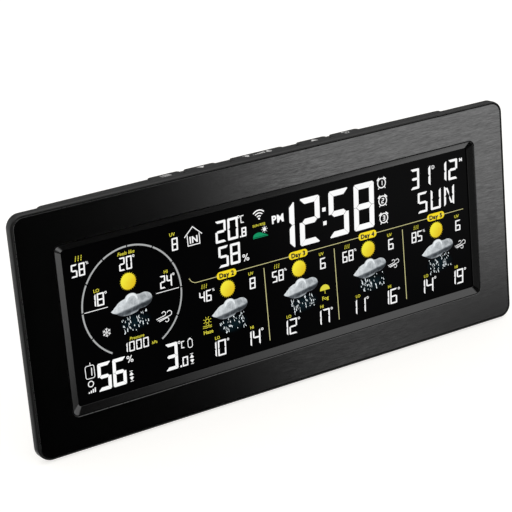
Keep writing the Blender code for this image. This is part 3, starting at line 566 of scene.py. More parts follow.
def draw_line(bm, points, width, closed=False):
    """A line of even width with mitred corners and flat ends."""
    places = [Vector(point) for point in points]
    count = len(places)
    sides = []
    for i, place in enumerate(places):
        before = places[i - 1] if i or closed else None
        after = places[(i + 1) % count] if i < count - 1 or closed else None
        arriving = (place - before).normalized() if before is not None else (after - place).normalized()
        leaving_way = (after - place).normalized() if after is not None else arriving
        normal = (arriving + leaving_way).normalized().orthogonal()
        reach = width / 2 / max(0.4, (arriving + leaving_way).length / 2)
        sides.append((place + normal * reach, place - normal * reach))
    if not closed:
        draw_face(bm, [left for left, _ in sides] + [right for _, right in reversed(sides)])
        return
    verts = [[bm.verts.new((point.x * MM, LIT_DEPTH * MM, point.y * MM)) for point in pair] for pair in sides]
    for i in range(count):
        bm.faces.new((verts[i - 1][0], verts[i][0], verts[i][1], verts[i - 1][1]))


def draw_disc(bm, centre, radius, steps=28):
    draw_face(bm, circle(centre, radius, steps))


def draw_ring(bm, centre, radius, width, steps=36):
    draw_line(bm, circle(centre, radius, steps), width, closed=True)


SEGMENTS_OF = {
    "0": "abcdef", "1": "bc", "2": "abged", "3": "abgcd", "4": "fgbc", "5": "afgcd", "6": "afgedc",
    "7": "abc", "8": "abcdefg", "9": "abcdfg", "S": "afgcd", "U": "bcdef", "N": "bcefxy", "C": "afed",
}
SEGMENT_LEAN = math.tan(math.radians(3.0))


def draw_digit(bm, sign, left, bottom, width, height, stroke):
    """One seven-segment sign. Segments meet in mitres with thin gaps, and outer corners are eased."""
    seam, gap, ease = 0.03 * stroke, 0.07 * stroke, 0.3 * stroke
    half = height / 2
    tip, tuck = (ease + seam) / 2, (ease - seam) / 2

    def mirrored(outline, across=True):
        return [(width - x, y) if across else (x, height - y) for x, y in outline]

    bar = [(ease, 0), (tip, tuck), (stroke + seam, stroke), (width - stroke - seam, stroke),
           (width - tip, tuck), (width - ease, 0)]
    post = [(0, ease), (tuck, tip), (stroke, stroke + seam), (stroke, half - stroke / 2 - gap),
            (stroke / 2, half - gap / 2), (0, half - gap / 2)]
    waist = [(stroke / 2 + gap, half), (stroke + gap, half + stroke / 2),
             (width - stroke - gap, half + stroke / 2), (width - stroke / 2 - gap, half),
             (width - stroke - gap, half - stroke / 2), (stroke + gap, half - stroke / 2)]
    slope = [(stroke + gap, height - stroke * 1.3), (width / 2 - gap, half + gap * 1.5),
             (width / 2 - gap, half + stroke * 1.5), (stroke * 1.9, height - stroke),
             (stroke + gap, height - stroke)]
    shapes = {"a": mirrored(bar, False), "b": mirrored(mirrored(post), False), "c": mirrored(post), "d": bar,
              "e": post, "f": mirrored(post, False), "g": waist, "x": slope,
              "y": mirrored(mirrored(slope), False)}
    for segment in SEGMENTS_OF[sign]:
        draw_face(bm, [(left + x + y * SEGMENT_LEAN, bottom + y) for x, y in shapes[segment]])


def draw_number(bm, text, left, right, bottom, top, stroke, space=None):
    """A run of signs that is seen between two limits across; a leading 1 has only its right half."""
    height = top - bottom
    run = right - left - height * SEGMENT_LEAN
    space = stroke * 0.55 if space is None else space
    count = len(text)
    width = (run - space * (count - 1)) / count
    if text[0] == "1" and count > 1:
        width = (run - stroke) / (count - 1) - space
        left += stroke - width
    for index, sign in enumerate(text):
        draw_digit(bm, sign, left + index * (width + space), bottom, width, height, stroke)


CAPITAL_HEIGHT = 0.73  # of a capital, at a letter size of one


def draw_text(bm, text, centre, height, bold=0.0, slant=0.0):
    """Printed lettering, centred on a point; height is that of a capital."""
    curve = bpy.data.curves.new("lettering", "FONT")
    curve.body = text
    curve.size = 1.0
    curve.shear = slant
    curve.offset = bold
    curve.space_character = 1.0 + 2.5 * bold
    curve.resolution_u = 3
    curve.align_x = "CENTER"
    drawn = bpy.data.objects.new("lettering", curve)
    bpy.context.scene.collection.objects.link(drawn)
    shape = bpy.data.meshes.new_from_object(drawn.evaluated_get(bpy.context.evaluated_depsgraph_get()))
    bpy.data.objects.remove(drawn)
    bpy.data.curves.remove(curve)
    across = [vertex.co.x for vertex in shape.vertices]
    middle = (min(across) + max(across)) / 2
    size = height / CAPITAL_HEIGHT
    turn = Matrix(((size, 0, 0, centre[0] - middle * size), (0, 0, 0, LIT_DEPTH),
                   (0, size, 0, centre[1] - height / 2), (0, 0, 0, 1)))
    shape.transform(Matrix.Scale(MM, 4) @ turn)
    bm.from_mesh(shape)
    bpy.data.meshes.remove(shape)


def thicken(bm, thickness=LIT_THICKNESS):
    """Turns the drawn faces into thin closed plates, by drawing them back into the depth."""
    bmesh.ops.remove_doubles(bm, verts=bm.verts, dist=1e-7)
    made = bmesh.ops.extrude_face_region(bm, geom=bm.faces[:], use_keep_orig=True)
    moved = [item for item in made["geom"] if isinstance(item, bmesh.types.BMVert)]
    bmesh.ops.translate(bm, verts=moved, vec=(0.0, thickness * MM, 0.0))


def lit_piece(bm, name, colour, matrix=CONSOLE):
    thicken(bm)
    return piece_from(bm, name, LIT[colour], "console", matrix)


# --- Weather picture ------------------------------------------------------------------------------
# Sun, cloud and rain of one weather picture, printed in colour on the film behind the display. The
# sun is a disc with short rays, the cloud soft puffs, the rain slanting dashes over a teal haze.

sun_glow, tree, shader = backlit("sun_glow")
at = on_surface(tree)
apart = add_node(tree, "ShaderNodeSeparateXYZ", {0: at}).outputs
fall = calc(tree, "SUBTRACT", calc(tree, "MULTIPLY", apart[0], 95.0), calc(tree, "MULTIPLY", apart[2], 85.0))
flares = noise(tree, at, 900.0, 3.0, 1.0)
warmth = calc(tree, "MULTIPLY_ADD", flares, 0.45, calc(tree, "ADD", fall, 0.1))
feed(shader, Emission_Color=blended(tree, warmth, (0.9, 0.8, 0.045, 1.0), (0.68, 0.42, 0.008, 1.0)))

# The cloud is bright above, with a lit rim round its dome, and has a dark band along its underside.
CLOUD_HALF_WIDTH = 11.2
cloud_glow, tree, shader = backlit("cloud_glow", Roughness=0.3, Specular_IOR_Level=0.05)
unit = add_node(tree, "ShaderNodeVectorMath", {0: on_surface(tree), "Scale": 1000.0 / CLOUD_HALF_WIDTH},
                operation="SCALE").outputs[0]
apart = add_node(tree, "ShaderNodeSeparateXYZ", {0: unit}).outputs
facing_out = add_node(tree, "ShaderNodeVectorTransform",
                      {0: add_node(tree, "ShaderNodeNewGeometry").outputs["Normal"]},
                      vector_type="NORMAL", convert_from="WORLD", convert_to="OBJECT")
normal = add_node(tree, "ShaderNodeSeparateXYZ", {0: facing_out.outputs[0]}).outputs
wisps = calc(tree, "SUBTRACT", noise(tree, unit, 5.0, 5.0, 0.9), 0.5)
light_level = calc(tree, "MULTIPLY_ADD", normal[2], 0.3, 0.66)
light_level = calc(tree, "MULTIPLY_ADD", wisps, 0.7, light_level)
light_level = calc(tree, "MULTIPLY_ADD", apart[0], -0.16, light_level)
band_line = calc(tree, "MULTIPLY_ADD", apart[0], -0.16, calc(tree, "ADD", apart[2], 0.2))
band = ranged(tree, calc(tree, "ABSOLUTE", band_line), 0.17, 0.03, 0.0, 1.0, interpolation_type="SMOOTHSTEP")
light_level = calc(tree, "MULTIPLY_ADD", band, -0.5, light_level)
dome = add_node(tree, "ShaderNodeVectorMath", {0: unit, 1: (0.0, 0.0, 0.2)}, operation="DISTANCE")
rim = calc(tree, "ABSOLUTE", calc(tree, "SUBTRACT", dome.outputs["Value"], 0.25))
above = ranged(tree, apart[2], 0.14, 0.26, 0.0, 1.0)
rim = calc(tree, "MULTIPLY", ranged(tree, rim, 0.06, 0.01, 0.0, 1.0), above)
light_level = calc(tree, "MULTIPLY_ADD", rim, 0.35, light_level)
vapour = add_node(tree, "ShaderNodeValToRGB", {0: light_level})
shades = vapour.color_ramp.elements
shades[0].position, shades[0].color = 0.05, (0.03, 0.035, 0.04, 1.0)
shades[1].position, shades[1].color = 1.0, (0.82, 0.86, 0.88, 1.0)
for position, colour in ((0.35, (0.13, 0.145, 0.16, 1.0)), (0.65, (0.47, 0.5, 0.52, 1.0))):
    shades.new(position).color = colour
fade = ranged(tree, calc(tree, "ABSOLUTE", normal[1]), 0.1, 0.8, 0.03, 1.0, interpolation_type="SMOOTHSTEP")
feed(shader, Emission_Color=blended(tree, 1.0, vapour.outputs[0], fade, "MULTIPLY"))

HAZE_HALF_WIDTH, HAZE_HALF_HEIGHT = 8.8, 4.6
haze_glow, tree, shader = backlit("haze_glow")
at = on_surface(tree)
reach = add_node(tree, "ShaderNodeVectorMath",
                 {0: at, 1: (1000.0 / HAZE_HALF_WIDTH, 0.0, 1000.0 / HAZE_HALF_HEIGHT)}, operation="MULTIPLY")
spread = add_node(tree, "ShaderNodeVectorMath", {0: reach.outputs[0]}, operation="LENGTH").outputs["Value"]
level = calc(tree, "MULTIPLY", ranged(tree, spread, 1.0, 0.2, 0.0, 1.0), noise(tree, at, 500.0, 3.0))
feed(shader, Emission_Color=blended(tree, level, (0.0008, 0.001, 0.0012, 1.0), (0.006, 0.02, 0.027, 1.0)))
LIT["rain"] = lit("lit_rain", (0.9, 0.97, 1.0))
LIT["pale_rain"] = lit("lit_pale_rain", (0.1, 0.14, 0.16), uneven=0.5)

# Puffs of the cloud: (across, up, half width, half height, swell), in units of its half width.
PUFFS = (
    (-0.18, -0.02, 0.6, 0.35, 0.85), (-0.5, -0.07, 0.4, 0.22, 0.6), (-0.72, -0.09, 0.28, 0.09, 0.3),
    (0.0, 0.22, 0.33, 0.29, 1.0), (0.3, 0.12, 0.46, 0.27, 0.75), (0.6, 0.1, 0.38, 0.31, 0.8),
    (-0.2, -0.21, 0.54, 0.2, 0.6), (0.42, -0.03, 0.48, 0.22, 0.6),
)


def way_at(degrees):
    """A step of one unit, at an angle from straight across."""
    return Vector((math.cos(math.radians(degrees)), math.sin(math.radians(degrees))))


def puff_height(across, up):
    """How far the cloud swells at a point, and nothing outside its puffs."""
    swell = 0.0
    for x, y, half_width, half_height, amount in PUFFS:
        inside = 1.0 - ((across - x) / half_width) ** 2 - ((up - y) / half_height) ** 2
        swell = max(swell, amount * math.sqrt(max(0.0, inside)))
    return swell


def cloud_mesh(half_width, turns=84, rings=14, relief=0.5):
    """The cloud's relief: rings that shrink from its outline to its heart, over a flat back."""
    heart = Vector((0.1, 0.0))
    reaches = []
    for turn in range(turns):
        way = way_at(360 * turn / turns)
        near, far = 0.0, 1.4
        for _ in range(18):
            reach = (near + far) / 2
            if puff_height(*(heart + way * reach)) > 0:
                near = reach
            else:
                far = reach
        reaches.append(way * near)
    rows = [[(heart + reach, 0.0) for reach in reaches]]
    for ring in range(rings):
        share = math.cos(math.radians(90 * ring / rings))
        places = [heart + reach * share for reach in reaches]
        rows.append([(place, -relief * puff_height(*place) - 0.01) for place in places])
    bm = bmesh.new()
    add_loft(bm, [[Vector((place.x, depth / 8, place.y)) * half_width for place, depth in row]
                  for row in rows])
    mesh = mesh_from(bm, "cloud", cloud_glow)
    mesh.shade_smooth()
    return mesh


def place_on_display(name, mesh, across, up, depth=LIT_DEPTH + LIT_THICKNESS):
    """A shared picture mesh, set with its origin at a point of the display."""
    at_point = Matrix.Translation(Vector((across, depth, up)) * MM)
    return place_piece(mesh, name, "console", CONSOLE @ at_point)


def picture_mesh(bm, name, material, thickness=LIT_THICKNESS):
    """A flat picture drawn round its own origin, as a thin closed plate."""
    thicken(bm, thickness)
    bmesh.ops.translate(bm, verts=bm.verts, vec=(0.0, (-LIT_DEPTH - thickness) * MM, 0.0))
    return mesh_from(bm, name, material)


def rain_drawing(half_width, half_height, seed, drops):
    """Slanting drops in two slanting clusters, thicker at their lower ends."""
    bm = bmesh.new()
    chance = random.Random(seed)
    for _ in range(drops):
        side = chance.choice((-1, 1))
        lift = half_height * chance.uniform(-0.9, 0.9)
        across = half_width * (side * 0.5 + chance.uniform(-0.42, 0.42)) - lift * 0.12
        lift += side * half_height * 0.1 + across * 0.06
        length = chance.uniform(0.5, 1.7)
        way = Vector((chance.uniform(0.0, 0.34), -1.0)).normalized() * length / 2
        aside = way.orthogonal().normalized() * chance.uniform(0.09, 0.26)
        middle = Vector((across, lift))
        draw_face(bm, [middle - way + aside * 0.4, middle + way * 0.7 + aside, middle + way,
                       middle + way * 0.7 - aside, middle - way - aside * 0.4])
    return bm


SUN_RADIUS = 3.95
sun = bmesh.new()
draw_disc(sun, (0.0, 0.0), SUN_RADIUS, 36)
for ray in range(24):
    way = way_at(15 * ray) * SUN_RADIUS
    aside = way.orthogonal() * 0.035
    draw_face(sun, [way * 1.03 + aside, way * 1.03 - aside, way * 1.14])
SUN_MESH = picture_mesh(sun, "sun", sun_glow)
CLOUD_MESH = cloud_mesh(CLOUD_HALF_WIDTH)
haze = bmesh.new()
draw_face(haze, [(x * HAZE_HALF_WIDTH, y * HAZE_HALF_HEIGHT) for x, y in circle((0.0, 0.0), 1.0, 40)])
HAZE_MESH = picture_mesh(haze, "rain_haze", haze_glow, 0.03)


def weather_picture(name, sun, cloud, rain, cloud_scale, seed):
    """Sun, cloud and rain at their three places."""
    place_on_display(f"{name}_sun", SUN_MESH, *sun)
    place_on_display(f"{name}_rain_haze", HAZE_MESH, *rain, depth=LIT_DEPTH + LIT_THICKNESS + 0.03)
    for colour, drops in (("pale_rain", 46), ("rain", 46)):
        falling = rain_drawing(7.6, 4.1, seed + drops, drops)
        place_on_display(f"{name}_{colour}", picture_mesh(falling, f"{name}_{colour}", LIT[colour]), *rain)
    place_on_display(f"{name}_cloud", CLOUD_MESH, *cloud).scale = (cloud_scale, 1.0, cloud_scale)


# --- Outdoor gauge --------------------------------------------------------------------------------
# Left field of the display, windows in its black mask: a ring with gaps like a dial, round the
# weather now. Felt temperature at its top, the day's low and high at its sides, the air pressure at
# its foot; rain chance and sun strength above, the sensor's humidity and temperature below.

RULE_UP = 5.67  # of the line that runs across the display
GAUGE = (-83.1, RULE_UP)
GAUGE_RADIUS = 26.2

bm = bmesh.new()
for part in range(10):
    start = -60 + 30 * part
    draw_line(bm, arc(GAUGE, GAUGE_RADIUS, start + 0.7, start + 29.3, 10), 0.8)
lit_piece(bm, "gauge_ring", "grey")

weather_picture("now", (-84.3, 15.15), (-83.7, 3.6), (-82.6, -4.9), 1.0, 3)


def draw_snowflake(bm, centre, radius):
    for arm in range(6):
        way = way_at(60 * arm + 30)
        place = Vector(centre)
        draw_line(bm, [place + way * radius * 0.08, place + way * radius], 0.28)
        for side in (1, -1):
            twig = Matrix.Rotation(math.radians(50 * side), 2) @ way
            fork = place + way * radius * 0.55
            draw_line(bm, [fork, fork + twig * radius * 0.4], 0.22)


def oblong(left, low, right, high):
    """Corners of an upright rectangle."""
    return [(left, low), (right, low), (right, high), (left, high)]


def draw_degree(bm, centre, radius, width):
    draw_ring(bm, centre, radius, width, steps=16)


def draw_percent(bm, centre, size):
    x, y = centre
    for way in (1, -1):
        draw_ring(bm, (x - way * size * 0.3, y + way * size * 0.28), size * 0.17, size * 0.12, steps=14)
    draw_line(bm, [(x - size * 0.3, y - size * 0.5), (x + size * 0.3, y + size * 0.5)], size * 0.12)


def draw_wind(bm, centre, unit):
    """Wind sign: three gusts that start together at the lower left, each with an open curl."""
    x, y = centre
    for start, curl, radius, turn in (((-4.2, -0.3), (0.0, 1.6), 1.05, 1),
                                      ((-3.6, -1.1), (3.0, 1.2), 1.25, 1),
                                      ((-2.8, -1.7), (1.4, -1.7), 1.0, -1)):
        hook = arc((curl[0] * unit, curl[1] * unit), radius * unit, -90 * turn, 160 * turn, 12)
        points = [(start[0] * unit, start[1] * unit)] + hook
        draw_line(bm, [(x + across, y + up) for across, up in points], 0.34 * unit)


def draw_rain_chance(bm, centre, unit):
    """Rain sign: three slanting strokes, each broken."""
    x, y = centre
    for stroke in (-1.5, 0.0, 1.5):
        for low, high in ((-1.2, -0.5), (-0.2, 0.5), (0.8, 1.3)):
            draw_line(bm, [(x + (stroke + low * 0.2) * unit, y + low * unit),
                           (x + (stroke + high * 0.2) * unit, y + high * unit)], 0.42 * unit)


def draw_trend(bm, centre, height):
    """Trend sign: a double arrow between two short bars."""
    x, y = centre
    half = height / 2
    for way in (1, -1):
        tip, foot = y + way * half * 0.86, y + way * half * 0.13
        draw_face(bm, [(x, tip), (x + 1.05, foot + way * 0.3), (x + 0.45, foot), (x - 0.45, foot),
                       (x - 1.05, foot + way * 0.3)])
        draw_line(bm, [(x - 0.85, y + way * half), (x + 0.85, y + way * half)], 0.26)


white, label = bmesh.new(), bmesh.new()
draw_line(white, [(-108.3, RULE_UP), (-96.2, RULE_UP)], 0.3)
draw_line(white, [(-70.4, RULE_UP), (-58.1, RULE_UP)], 0.3)
draw_text(label, "Feels like", (-83.9, 28.9), 1.75, 0.006, 0.25)
draw_number(white, "20", -88.2, -81.2, 20.8, 27.1, 0.66, 0.7)
draw_degree(white, (-80.3, 26.6), 0.45, 0.28)
draw_text(label, "LO", (-101.1, 14.8), 1.7, 0.008)
draw_number(white, "18", -102.7, -97.4, 7.2, 13.35, 0.68, 0.6)
draw_degree(white, (-96.5, 12.9), 0.45, 0.28)
draw_text(label, "HI", (-64.3, 15.0), 1.7, 0.008)
draw_number(white, "24", -68.0, -61.3, 7.2, 13.4, 0.66, 0.7)
draw_degree(white, (-60.4, 12.9), 0.45, 0.28)
draw_snowflake(white, (-98.2, -6.2), 2.2)
draw_wind(white, (-67.6, -6.6), 1.0)
draw_text(label, "Pressure", (-82.9, -12.3), 1.6, 0.006, 0.25)
draw_number(white, "1000", -89.0, -76.9, -18.55, -13.8, 0.55, 0.85)
draw_text(label, "hPa", (-74.0, -17.3), 1.5, 0.008, 0.2)

draw_rain_chance(label, (-108.2, 31.9), 0.95)
draw_number(white, "58", -112.7, -105.3, 23.5, 29.6, 0.7, 0.75)
draw_percent(white, (-104.2, 29.0), 1.35)
draw_text(label, "UV", (-58.9, 31.8), 1.7, 0.008)
draw_number(white, "8", -59.8, -56.2, 23.8, 29.9, 0.72)

# Outdoor sensor: its sign, channel and signal bars, then humidity and temperature with their trends.
sensor_sign = [(-109.0 + x, -22.6 + y) for x, y in rounded(2.3, -3.2, 3.0, 0.9, 5)]
draw_line(white, sensor_sign, 0.3, closed=True)
draw_line(white, [(-108.5, -19.4), (-108.6, -18.2)], 0.34)
draw_line(white, [(-108.2, -24.6), (-108.0, -20.8)], 0.42)
draw_ring(white, (-109.2, -28.5), 1.35, 0.42, 24)
for bar in range(4):
    foot = -110.9 + bar * 1.05
    top = -32.2 + bar * 0.5
    draw_face(white, [(foot, -32.9), (foot + 0.6, -32.9), (foot + 0.75, top), (foot + 0.15, top)])
draw_number(white, "56", -105.7, -90.0, -33.5, -19.95, 1.7, 0.9)
draw_percent(white, (-87.8, -22.0), 3.3)
draw_trend(white, (-87.9, -30.5), 5.0)
draw_number(white, "3", -69.4, -62.0, -33.5, -20.25, 1.6)
draw_face(white, oblong(-61.6, -33.5, -60.7, -32.6))
draw_number(white, "0", -60.3, -57.0, -33.5, -28.8, 0.66)
draw_degree(white, (-61.0, -21.0), 0.55, 0.32)
draw_digit(white, "C", -60.1, -24.4, 1.9, 3.5, 0.46)
battery_sign = [(-55.1 + x, -23.0 + y) for x, y in rounded(1.2, -2.1, 2.1, 1.0, 5)]
draw_line(white, battery_sign, 0.34, closed=True)
draw_line(white, [(-55.6, -20.55), (-54.6, -20.55)], 0.4)
draw_trend(white, (-54.9, -30.8), 5.0)
lit_piece(white, "outdoor_segments", "white")
lit_piece(label, "outdoor_labels", "label")


# --- Indoor field ---------------------------------------------------------------------------------
# Windows for the readings taken indoors: a house sign, the temperature over the humidity, and beside
# them radio waves over a green hill with a rising sun.


def draw_rays(bm, centre, inner, outer, width, first=0):
    """Eight short rays round a centre."""
    for ray in range(8):
        way = way_at(first + 45 * ray)
        draw_line(bm, [Vector(centre) + way * inner, Vector(centre) + way * outer], width)


white, label, green = bmesh.new(), bmesh.new(), bmesh.new()
draw_line(white, [(-52.6, 28.6), (-47.7, 33.0), (-42.9, 28.6)], 0.42)
draw_line(white, [(-51.0, 29.4), (-51.0, 24.2), (-44.5, 24.2), (-44.5, 29.4)], 0.42)
draw_text(white, "IN", (-47.7, 26.9), 3.3, 0.025)
draw_number(white, "20", -35.9, -22.7, 21.7, 32.4, 1.2, 1.0)
draw_degree(white, (-22.2, 32.0), 0.55, 0.32)
draw_digit(white, "C", -21.3, 28.6, 2.0, 3.7, 0.46)
draw_face(white, oblong(-22.3, 21.7, -21.6, 22.4))
draw_number(white, "8", -21.4, -18.4, 21.7, 26.3, 0.75)
draw_number(white, "58", -35.4, -22.7, 9.5, 19.8, 1.2, 1.0)
draw_percent(white, (-20.1, 11.3), 3.5)
for radius in (1.5, 2.9, 4.3):
    draw_line(white, arc((-10.8, 28.4), radius, 45, 135, 12), 0.55)
draw_disc(white, (-10.8, 28.5), 0.5, 16)
draw_text(label, "SUN RISE", (-11.2, 25.5), 1.3, 0.008)
hill = [(-15.1, 19.7)] + arc((-12.0, 17.4), 4.4, 128, 52, 12) + [(-6.6, 19.7)]
draw_face(green, hill)
draw_line(green, [(-15.1, 19.3), (-6.6, 19.3)], 0.3)
draw_disc(white, (-8.3, 22.7), 0.95, 18)
draw_rays(white, (-8.3, 22.7), 1.2, 1.75, 0.2)
lit_piece(white, "indoor_segments", "white")
lit_piece(label, "indoor_labels", "label")
lit_piece(green, "sunrise_hill", "green")


# --- Clock and date -------------------------------------------------------------------------------
# Windows of the large clock with its colon, three alarm signs beside it, and the date over the name
# of the day. All are cut in the display's black mask.

white = bmesh.new()
draw_text(white, "PM", (-0.3, 26.2), 3.9, 0.035)
CLOCK_LOW, CLOCK_HIGH, CLOCK_STROKE = 9.2, 32.8, 2.9
for digit, left, right in (("1", -4.2, 9.7), ("2", 11.5, 24.7), ("5", 28.9, 42.1), ("8", 44.1, 57.7)):
    draw_number(white, digit, left, right, CLOCK_LOW, CLOCK_HIGH, CLOCK_STROKE)
for up in (24.6, 17.7):
    draw_face(white, [(25.8, up - 1.0), (27.8, up - 1.0), (27.9, up + 1.0), (25.9, up + 1.0)])
for number, up in (("1", 30.3), ("2", 21.2), ("3", 12.15)):
    centre = (62.5, up)
    draw_ring(white, centre, 2.4, 0.52, 32)
    digit_left = 61.35 if number == "1" else 61.65
    draw_digit(white, number, digit_left, up - 1.3, 1.6, 2.6, 0.42)
    for side in (1, -1):
        draw_line(white, arc(centre, 3.1, 90 - side * 24, 90 - side * 60, 6), 0.62)
        draw_line(white, [(62.5 + side * 1.5, up - 1.9), (62.5 + side * 2.15, up - 2.9)], 0.4)
DATE_LOW, DATE_HIGH = 22.6, 33.1
for digit, left, right in (("3", 80.4, 86.3), ("1", 86.9, 93.5), ("1", 97.2, 103.8), ("2", 104.6, 110.9)):
    draw_number(white, digit, left, right, DATE_LOW, DATE_HIGH, 1.25)
draw_text(white, "D", (95.2, 31.7), 1.9, 0.015)
draw_text(white, "M", (113.1, 31.9), 1.9, 0.015)
for letter, left, right in (("S", 84.0, 90.6), ("U", 92.3, 99.3), ("N", 101.0, 108.0)):
    draw_number(white, letter, left, right, 9.5, 20.1, 1.15)
lit_piece(white, "clock_and_date_segments", "white")


# --- Forecast -------------------------------------------------------------------------------------
# Four columns of windows, ruled in pale yellow, each under the pill with its day: rain chance, sun
# strength, weather picture, low and high. The pills' names are printed black on yellow.

rules = bmesh.new()
rule_path = [(-52.4, 8.3)] + arc((-48.3, 9.6), 3.9, 200, 270, 8) + [(113.1, RULE_UP)]
draw_line(rules, rule_path, 0.28)
for across in (-10.5, 31.1, 73.5):
    draw_line(rules, [(across, 3.6), (across, -33.5)], 0.34)
lit_piece(rules, "forecast_rules", "line")

print_black = moulded("print_black", 0.002, 0.3)
DAYS = (
    ("2", -31.6, "46", "8", "10", "14"),
    ("3", 9.8, "58", "6", "12", "17"),
    ("4", 51.8, "68", "6", "11", "16"),
    ("5", 95.1, "85", "6", "14", "19"),
)
PILL_HALF_WIDTH, PILL_HALF_HEIGHT = 5.55, 1.9
CHANCE_LOW, CHANCE_HIGH = -5.1, 0.5
DEGREES_LOW, DEGREES_HIGH = -33.7, -25.9
for day, centre, chance_of_rain, sun_strength, low_reading, high_reading in DAYS:
    white, label, pill = bmesh.new(), bmesh.new(), bmesh.new()
    outline = rounded(PILL_HALF_WIDTH, -PILL_HALF_HEIGHT, PILL_HALF_HEIGHT, PILL_HALF_HEIGHT - 0.02, 10)
    draw_face(pill, [(centre + x, RULE_UP + y) for x, y in outline])
    lit_piece(pill, f"day_{day}_pill", "yellow")
    word = bmesh.new()
    draw_text(word, f"Day {day}", (centre, RULE_UP), 2.3, 0.05)
    thicken(word, 0.03)
    bmesh.ops.translate(word, verts=word.verts, vec=(0.0, -0.03 * MM, 0.0))
    piece_from(word, f"day_{day}_name", print_black, "console")
    draw_rain_chance(label, (centre - 12.9, 2.7), 0.8)
    draw_number(white, chance_of_rain, centre - 16.2, centre - 9.2, CHANCE_LOW, CHANCE_HIGH, 0.64, 0.7)
    draw_percent(white, (centre - 8.1, 0.0), 1.3)
    draw_text(label, "UV", (centre + 13.5, 2.7), 1.6, 0.008)
    draw_number(white, sun_strength, centre + 12.2, centre + 15.8, CHANCE_LOW, CHANCE_HIGH, 0.66)
    weather_picture(f"day_{day}", (centre - 0.2, -1.5), (centre + 0.05, -11.9), (centre + 1.1, -19.6), 0.92,
                    10 + int(day))
    for limit, reading, limit_across, limit_up, left, right in (
            ("LO", low_reading, -8.3, -24.3, -10.3, -3.8), ("HI", high_reading, 11.5, -24.2, 9.8, 16.0)):
        draw_text(label, limit, (centre + limit_across, limit_up), 1.6, 0.008)
        draw_number(white, reading, centre + left, centre + right, DEGREES_LOW, DEGREES_HIGH, 0.76, 0.8)
        draw_degree(white, (centre + right + 1.2, -26.5), 0.5, 0.3)
    if day == "2":
        draw_ring(label, (centre - 13.0, -14.6), 1.0, 0.32, 20)
        draw_rays(label, (centre - 13.0, -14.6), 1.5, 2.3, 0.26, first=20)
        for row in range(2):
            wave = [(centre - 15.6 + 0.7 * i, -17.0 - 0.8 * row + 0.2 * math.sin(i * 1.9)) for i in range(8)]
            draw_line(label, wave, 0.26)
        draw_text(label, "Haze", (centre - 12.9, -20.0), 1.9, 0.015)
    elif day == "3":
        draw_face(label, arc((centre + 14.0, -16.2), 2.9, 0, 180, 16))
        draw_line(label, [(centre + 14.0, -16.2), (centre + 14.0, -18.1)], 0.3)
        draw_text(label, "Fog", (centre + 14.0, -20.2), 1.9, 0.015)
    else:
        draw_wind(white, (centre + 14.8, -12.9), 0.82)
    lit_piece(white, f"day_{day}_segments", "white")
    lit_piece(label, f"day_{day}_labels", "label")


# --- Top keys -------------------------------------------------------------------------------------
# Five moulded caps in the top of the case: crowned, with eased edges, each on its own switch. Their
# signs are printed in white: a list, an arrow down, a lamp, an arrow up and a turned-back clock.

key_black = moulded("key_black", 0.006, 0.34)
print_white = moulded("print_white", 0.72, 0.5, pit=0.000004)
KEY_NODES = ("menu_key", "down_key", "light_key", "up_key", "history_key")
KEY_FLANGE, KEY_CORNER, KEY_STEM_RADIUS, KEY_STEM_LENGTH = 0.8, 1.8, 2.0, 2.2
PRINT_DEPTH = 14.6  # of the signs' middle: they sit behind the middle of the caps


def level_ring(centre, half_across, half_deep, corner, height):
    """A rounded rectangle that lies level, round a centre in (across, depth)."""
    outline = rounded(half_across, -half_deep, half_deep, corner, 6)
    return [(centre[0] + x, centre[1] + y, height) for x, y in outline]


def print_face(bm, outline, height):
    """Ink on a key's top, from its outline in (across, depth)."""
    bottom = [bm.verts.new((x * MM, y * MM, height * MM)) for x, y in outline]
    top = [bm.verts.new((x * MM, y * MM, (height + 0.04) * MM)) for x, y in outline]
    bm.faces.new(bottom)
    bm.faces.new(top)
    for i in range(len(top)):
        bm.faces.new((bottom[i - 1], bottom[i], top[i], top[i - 1]))


def print_line(bm, points, width, height):
    for start, end in zip(points, points[1:]):
        start, end = Vector(start), Vector(end)
        way = (end - start).normalized()
        aside = way.orthogonal() * width / 2
        over = way * width * 0.3
        print_face(bm, [start - over + aside, start - over - aside, end + over - aside, end + over + aside],
                   height)


def list_sign(bm, x, y, height):
    for row in (-1.2, 0.0, 1.2):
        print_face(bm, oblong(x - 2.6, y + row - 0.25, x - 2.0, y + row + 0.25), height)
        print_line(bm, [(x - 1.3, y + row), (x + 2.4, y + row)], 0.42, height)


def triangle_sign(way):
    def draw(bm, x, y, height):
        print_face(bm, [(x - 2.1, y - way * 1.3), (x + 2.1, y - way * 1.3), (x, y + way * 1.5)], height)
    return draw


def lamp_sign(bm, x, y, height):
    """Lamp, bar of steps and moon, from left to right."""
    lamp = Vector((x - 6.6, y + 0.3))
    print_face(bm, circle(lamp, 1.1, 20), height)
    print_line(bm, [(x - 7.1, y - 1.3), (x - 6.1, y - 1.3)], 0.45, height)
    for ray in (20, 90, 160):
        print_line(bm, [lamp + way_at(ray) * 1.5, lamp + way_at(ray) * 2.0], 0.3, height)
    for step in range(6):
        left = x - 3.6 + step * 1.25
        print_face(bm, oblong(left, y - 1.1, left + 0.75, y - 0.7 + step * 0.36), height)
    crescent = arc((x + 6.2, y), 1.6, 40, 320, 20) + arc((x + 6.9, y), 1.25, 300, 60, 16)
    print_face(bm, crescent, height)


def clock_sign(bm, x, y, height):
    print_line(bm, arc((x, y), 1.6, 140, -150, 20), 0.36, height)
    print_face(bm, [(x - 2.2, y + 0.9), (x - 0.6, y + 1.0), (x - 1.5, y + 2.1)], height)
    print_line(bm, [(x, y + 0.9), (x, y), (x + 0.8, y)], 0.32, height)


